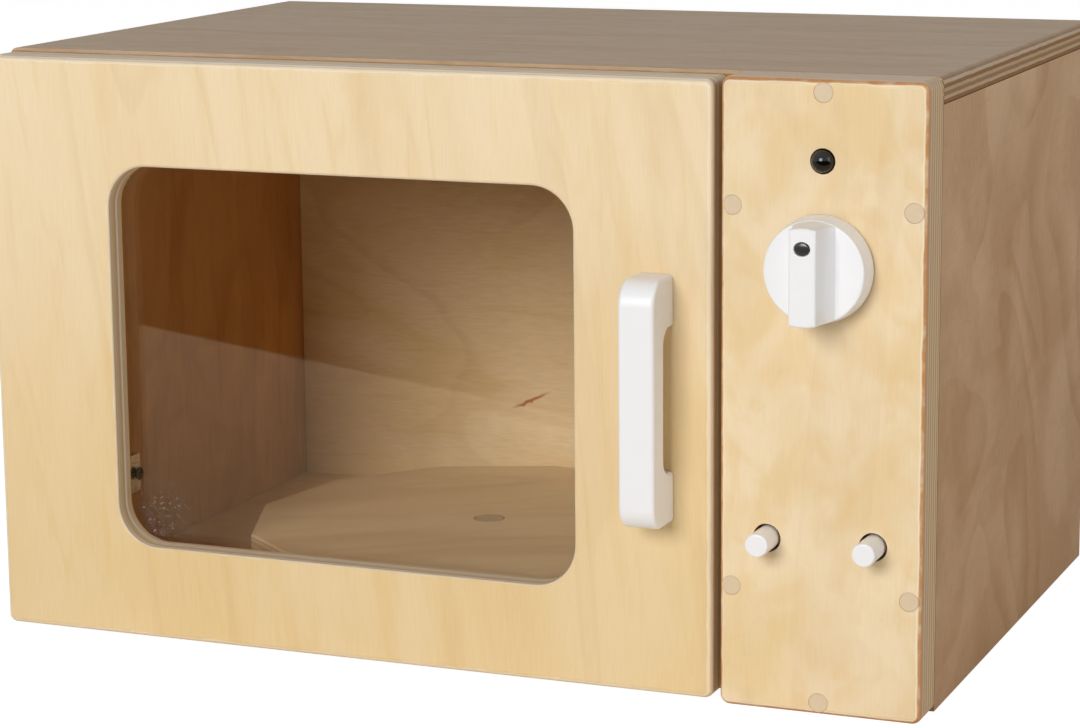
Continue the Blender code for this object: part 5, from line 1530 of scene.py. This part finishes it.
@dataclass(frozen=True)
class StudioPaper:
    """Matt white paper, rolled out over the table.

    To the eye: nearly white where it is seen straight or through the window. Where something
    mirrors it, it glows warmer and dimmer, a painted reflection that tints the table mirrored in the window.
    """

    name: str = "matt_studio_paper"
    colour: str = "#F4F3F1"
    # The tooth of real paper is about 0.1 mm wide, too fine to show, so it is drawn coarser
    tooth_mm: float = 1.11
    lift: float = 0.62
    glow: float = 1.52
    # Share, strength and tint of the glow that mirrors see: a painted reflection
    reflection_painted_share: float = 0.45
    reflection_painted_glow: float = 0.88
    reflection_painted_tint: str = "#FFE29E"

    def material(self) -> bpy.types.Material:
        """Make the material.

        Returns:
            The material.
        """
        paint, tree = new_material(self.name)
        where = add_node(tree, "TexCoord").outputs["Object"]
        tooth = add_node(tree, "TexNoise", {"Vector": where, "Scale": 1000 / self.tooth_mm, "Detail": 2.0}).outputs[0]
        bump = add_node(tree, "Bump", {"Height": tooth, "Distance": 0.00005, "Strength": 0.2})
        matt = add_node(tree, "BsdfDiffuse", {0: linear(self.colour), "Normal": bump.outputs[0]})
        path = add_node(tree, "LightPath").outputs
        seen = add_node(
            tree, "Math", {0: path["Is Camera Ray"], 1: path["Is Transmission Ray"]}, operation="MAXIMUM").outputs[0]
        direct = add_node(tree, "Math", {0: path["Glossy Depth"], 1: 0.5}, operation="LESS_THAN").outputs[0]
        seen = add_node(tree, "Math", {0: seen, 1: direct}, operation="MULTIPLY").outputs[0]
        # Painted reflection: mirrors see a warm, dimmer glow in place of the white paper
        tint = add_node(
            tree, "Mix", {0: seen, 6: linear(self.reflection_painted_tint), 7: linear("#FFFFFF")}, data_type="RGBA").outputs[2]
        power = add_node(tree, "Mix", {0: seen, 2: self.reflection_painted_glow, 3: self.glow}).outputs[0]
        glow = add_node(tree, "Emission", {0: tint, 1: power})
        share = add_node(tree, "Mix", {0: path["Is Diffuse Ray"], 2: self.reflection_painted_share, 3: 0.0}).outputs[0]
        share = add_node(tree, "Mix", {0: seen, 2: share, 3: self.lift}).outputs[0]
        both = add_node(tree, "MixShader", {0: share, 1: matt.outputs[0], 2: glow.outputs[0]})
        add_node(tree, "OutputMaterial", {0: both.outputs[0]})
        return paint


@dataclass(frozen=True)
class DarkReflectionFelt:
    """Black wool felt on a stretched flag that only mirrors see, a painted dark reflection.

    To the eye: nothing where it is looked at, and a nearly black cloth with a little
    lint where something mirrors it.
    """

    name: str = "black_felt_flag"
    colour: str = "#151312"
    lint: str = "#1D1A18"
    # Real lint is about 1 mm wide, too fine to show in a mirror image, so it is drawn coarser
    nap_mm: float = 5.0

    def material(self) -> bpy.types.Material:
        """Make the material.

        Returns:
            The material.
        """
        paint, tree = new_material(self.name)
        where = add_node(tree, "TexCoord").outputs["Object"]
        nap = add_node(tree, "TexNoise", {"Vector": where, "Scale": 1000 / self.nap_mm}).outputs[0]
        felt = add_node(
            tree, "Mix", {0: nap, 6: linear(self.colour), 7: linear(self.lint)}, data_type="RGBA").outputs[2]
        matt = add_node(tree, "BsdfDiffuse", {0: felt})
        depth = add_node(tree, "LightPath").outputs["Glossy Depth"]
        mirrored = add_node(tree, "Math", {0: depth, 1: 0.5}, operation="GREATER_THAN").outputs[0]
        clear = add_node(tree, "BsdfTransparent")
        both = add_node(tree, "MixShader", {0: mirrored, 1: clear.outputs[0], 2: matt.outputs[0]})
        add_node(tree, "OutputMaterial", {0: both.outputs[0]})
        return paint


@dataclass(frozen=True)
class Softbox:
    """A soft rectangular lamp, with its size in metres and its power in watts."""

    name: str
    place: tuple[float, float, float]
    aim: tuple[float, float, float]
    size: tuple[float, float]
    power: float


@dataclass
class Studio:
    """Floor, light and camera. The image is taken as 1080 by 728."""

    image_width: float = 1080.0
    focal_px: float = 3118.5
    yaw: float = math.radians(22.324)
    pitch: float = math.radians(11.169)
    roll: float = math.radians(-0.52)
    eye: tuple[float, float, float] = (0.4482, -1.1151, 0.3284)
    sensor_mm: float = 36.0
    table_edge: float = 0.765
    table_turn: float = math.radians(2.08)
    ambient: float = 0.11
    flag_top: float = 0.42
    flag_drop: float = 3.0
    flag_behind: float = 0.35
    floor_drop: float = 0.0003
    floor_half: float = 6.0
    floor_far: float = 7.0
    softboxes: tuple[Softbox, ...] = (
        Softbox("key_softbox", (-0.27, -2.88, 1.22), (0.0, -0.1, 0.12), (1.35, 1.3), 63.0),
        Softbox("fill_softbox", (1.9, -0.3, 0.7), (0.1, 0.0, 0.1), (1.4, 1.4), 8.8))

    def build(self) -> None:
        """Set the whole studio up."""
        self.set_camera()
        self.set_world()
        self.set_floor()
        self.set_lamps()
        bpy.context.scene.view_settings.view_transform = "Standard"

    def ways(self) -> tuple[Vector, Vector]:
        """Return the level directions to the camera's right and ahead of it."""
        across, along = math.cos(self.yaw), math.sin(self.yaw)
        return Vector((across, along, 0)), Vector((-along, across, 0))

    def set_camera(self) -> None:
        """Place the camera as the photograph was taken."""
        right, ahead = self.ways()
        up = Vector((0, 0, 1))
        look = ahead * math.cos(self.pitch) - up * math.sin(self.pitch)
        over = ahead * math.sin(self.pitch) + up * math.cos(self.pitch)
        side = right * math.cos(self.roll) + over * math.sin(self.roll)
        over = over * math.cos(self.roll) - right * math.sin(self.roll)
        lens = bpy.data.cameras.new("photo_camera")
        lens.sensor_fit, lens.sensor_width = "HORIZONTAL", self.sensor_mm
        lens.lens = self.focal_px * self.sensor_mm / self.image_width
        lens.clip_start = 0.05
        camera = bpy.data.objects.new("photo_camera", lens)
        turn = Matrix((side, over, -look)).transposed().to_4x4()
        camera.matrix_world = Matrix.Translation(self.eye) @ turn
        bpy.context.scene.collection.objects.link(camera)
        bpy.context.scene.camera = camera

    def set_world(self) -> None:
        """Make the room white where it is seen, mirrored or seen through the window, and a weak light else."""
        world = bpy.data.worlds.new("soft_room")
        bpy.context.scene.world = world
        world.use_nodes = True
        tree = world.node_tree
        tree.nodes.clear()
        path = add_node(tree, "LightPath").outputs
        seen = add_node(
            tree, "Math", {0: path["Is Camera Ray"], 1: path["Is Glossy Ray"]}, operation="MAXIMUM").outputs[0]
        seen = add_node(tree, "Math", {0: seen, 1: path["Is Transmission Ray"]}, operation="MAXIMUM").outputs[0]
        strength = add_node(tree, "Mix", {0: seen, 2: self.ambient, 3: 1.0}).outputs[0]
        sky = add_node(tree, "Background", {0: linear("#FFFFFF"), 1: strength})
        add_node(tree, "OutputWorld", {0: sky.outputs[0]})

    def sheet(self, name: str, corners: Sequence[Vector], paint: bpy.types.Material) -> bpy.types.Object:
        """Add a flat sheet of the studio, which is no part of the toy.

        Args:
            name: its name.
            corners: its four corners in order.
            paint: its material.
        Returns:
            The sheet.
        """
        mesh = bpy.data.meshes.new(name)
        mesh.from_pydata([tuple(corner) for corner in corners], [], [(0, 1, 2, 3)])
        mesh.materials.append(paint)
        item = bpy.data.objects.new(name, mesh)
        bpy.context.scene.collection.objects.link(item)
        return item

    def set_floor(self) -> None:
        """Lay the table top, whose front edge the window mirrors, and the floor before it."""
        right, ahead = self.ways()
        foot = Vector((self.eye[0], self.eye[1], -self.floor_drop))
        edge = foot + ahead * self.table_edge
        half = self.floor_half
        wide = right * half * math.cos(self.table_turn) + ahead * half * math.sin(self.table_turn)
        far, near = ahead * self.floor_far, ahead * half
        paper, felt = StudioPaper().material(), DarkReflectionFelt().material()
        self.sheet("table_top", [edge - wide, edge + wide, edge + wide + far, edge - wide + far], paper)
        apron = self.sheet("floor_apron", [edge - wide - near, edge + wide - near, edge + wide, edge - wide], paper)
        apron.visible_glossy = apron.visible_transmission = False
        # A dark flat behind the camera, which only mirrors see, paints a dark reflection that keeps the window clear
        # above the table
        start, end = foot - ahead * self.flag_behind - wide, foot - ahead * self.flag_behind + wide
        drop, rise = Vector((0, 0, -self.flag_drop)), Vector((0, 0, self.flag_top))
        flag = self.sheet("black_flag", [start + drop, end + drop, end + rise, start + rise], felt)
        for sight in ("camera", "diffuse", "shadow", "volume_scatter"):
            setattr(flag, "visible_" + sight, False)

    def set_lamps(self) -> None:
        """Hang a large soft key before the front and a weak fill at the right."""
        for box in self.softboxes:
            lamp = bpy.data.lights.new(box.name, "AREA")
            lamp.shape, lamp.energy = "RECTANGLE", box.power
            lamp.size, lamp.size_y = box.size
            item = bpy.data.objects.new(box.name, lamp)
            turn = (Vector(box.aim) - Vector(box.place)).to_track_quat("-Z", "Y").to_matrix().to_4x4()
            item.matrix_world = Matrix.Translation(box.place) @ turn
            bpy.context.scene.collection.objects.link(item)


def main() -> None:
    """Build the toy's looks in order, then the studio."""
    logging.basicConfig(level=logging.INFO, format="%(name)s: %(message)s")
    for part in (Case(), ControlPanel(), Knob(), Door(), Turntable(), Hinges()):
        part.build()
        LOG.info("%s done", type(part).__name__)
    Studio().build()


if __name__ == "__main__":
    main()
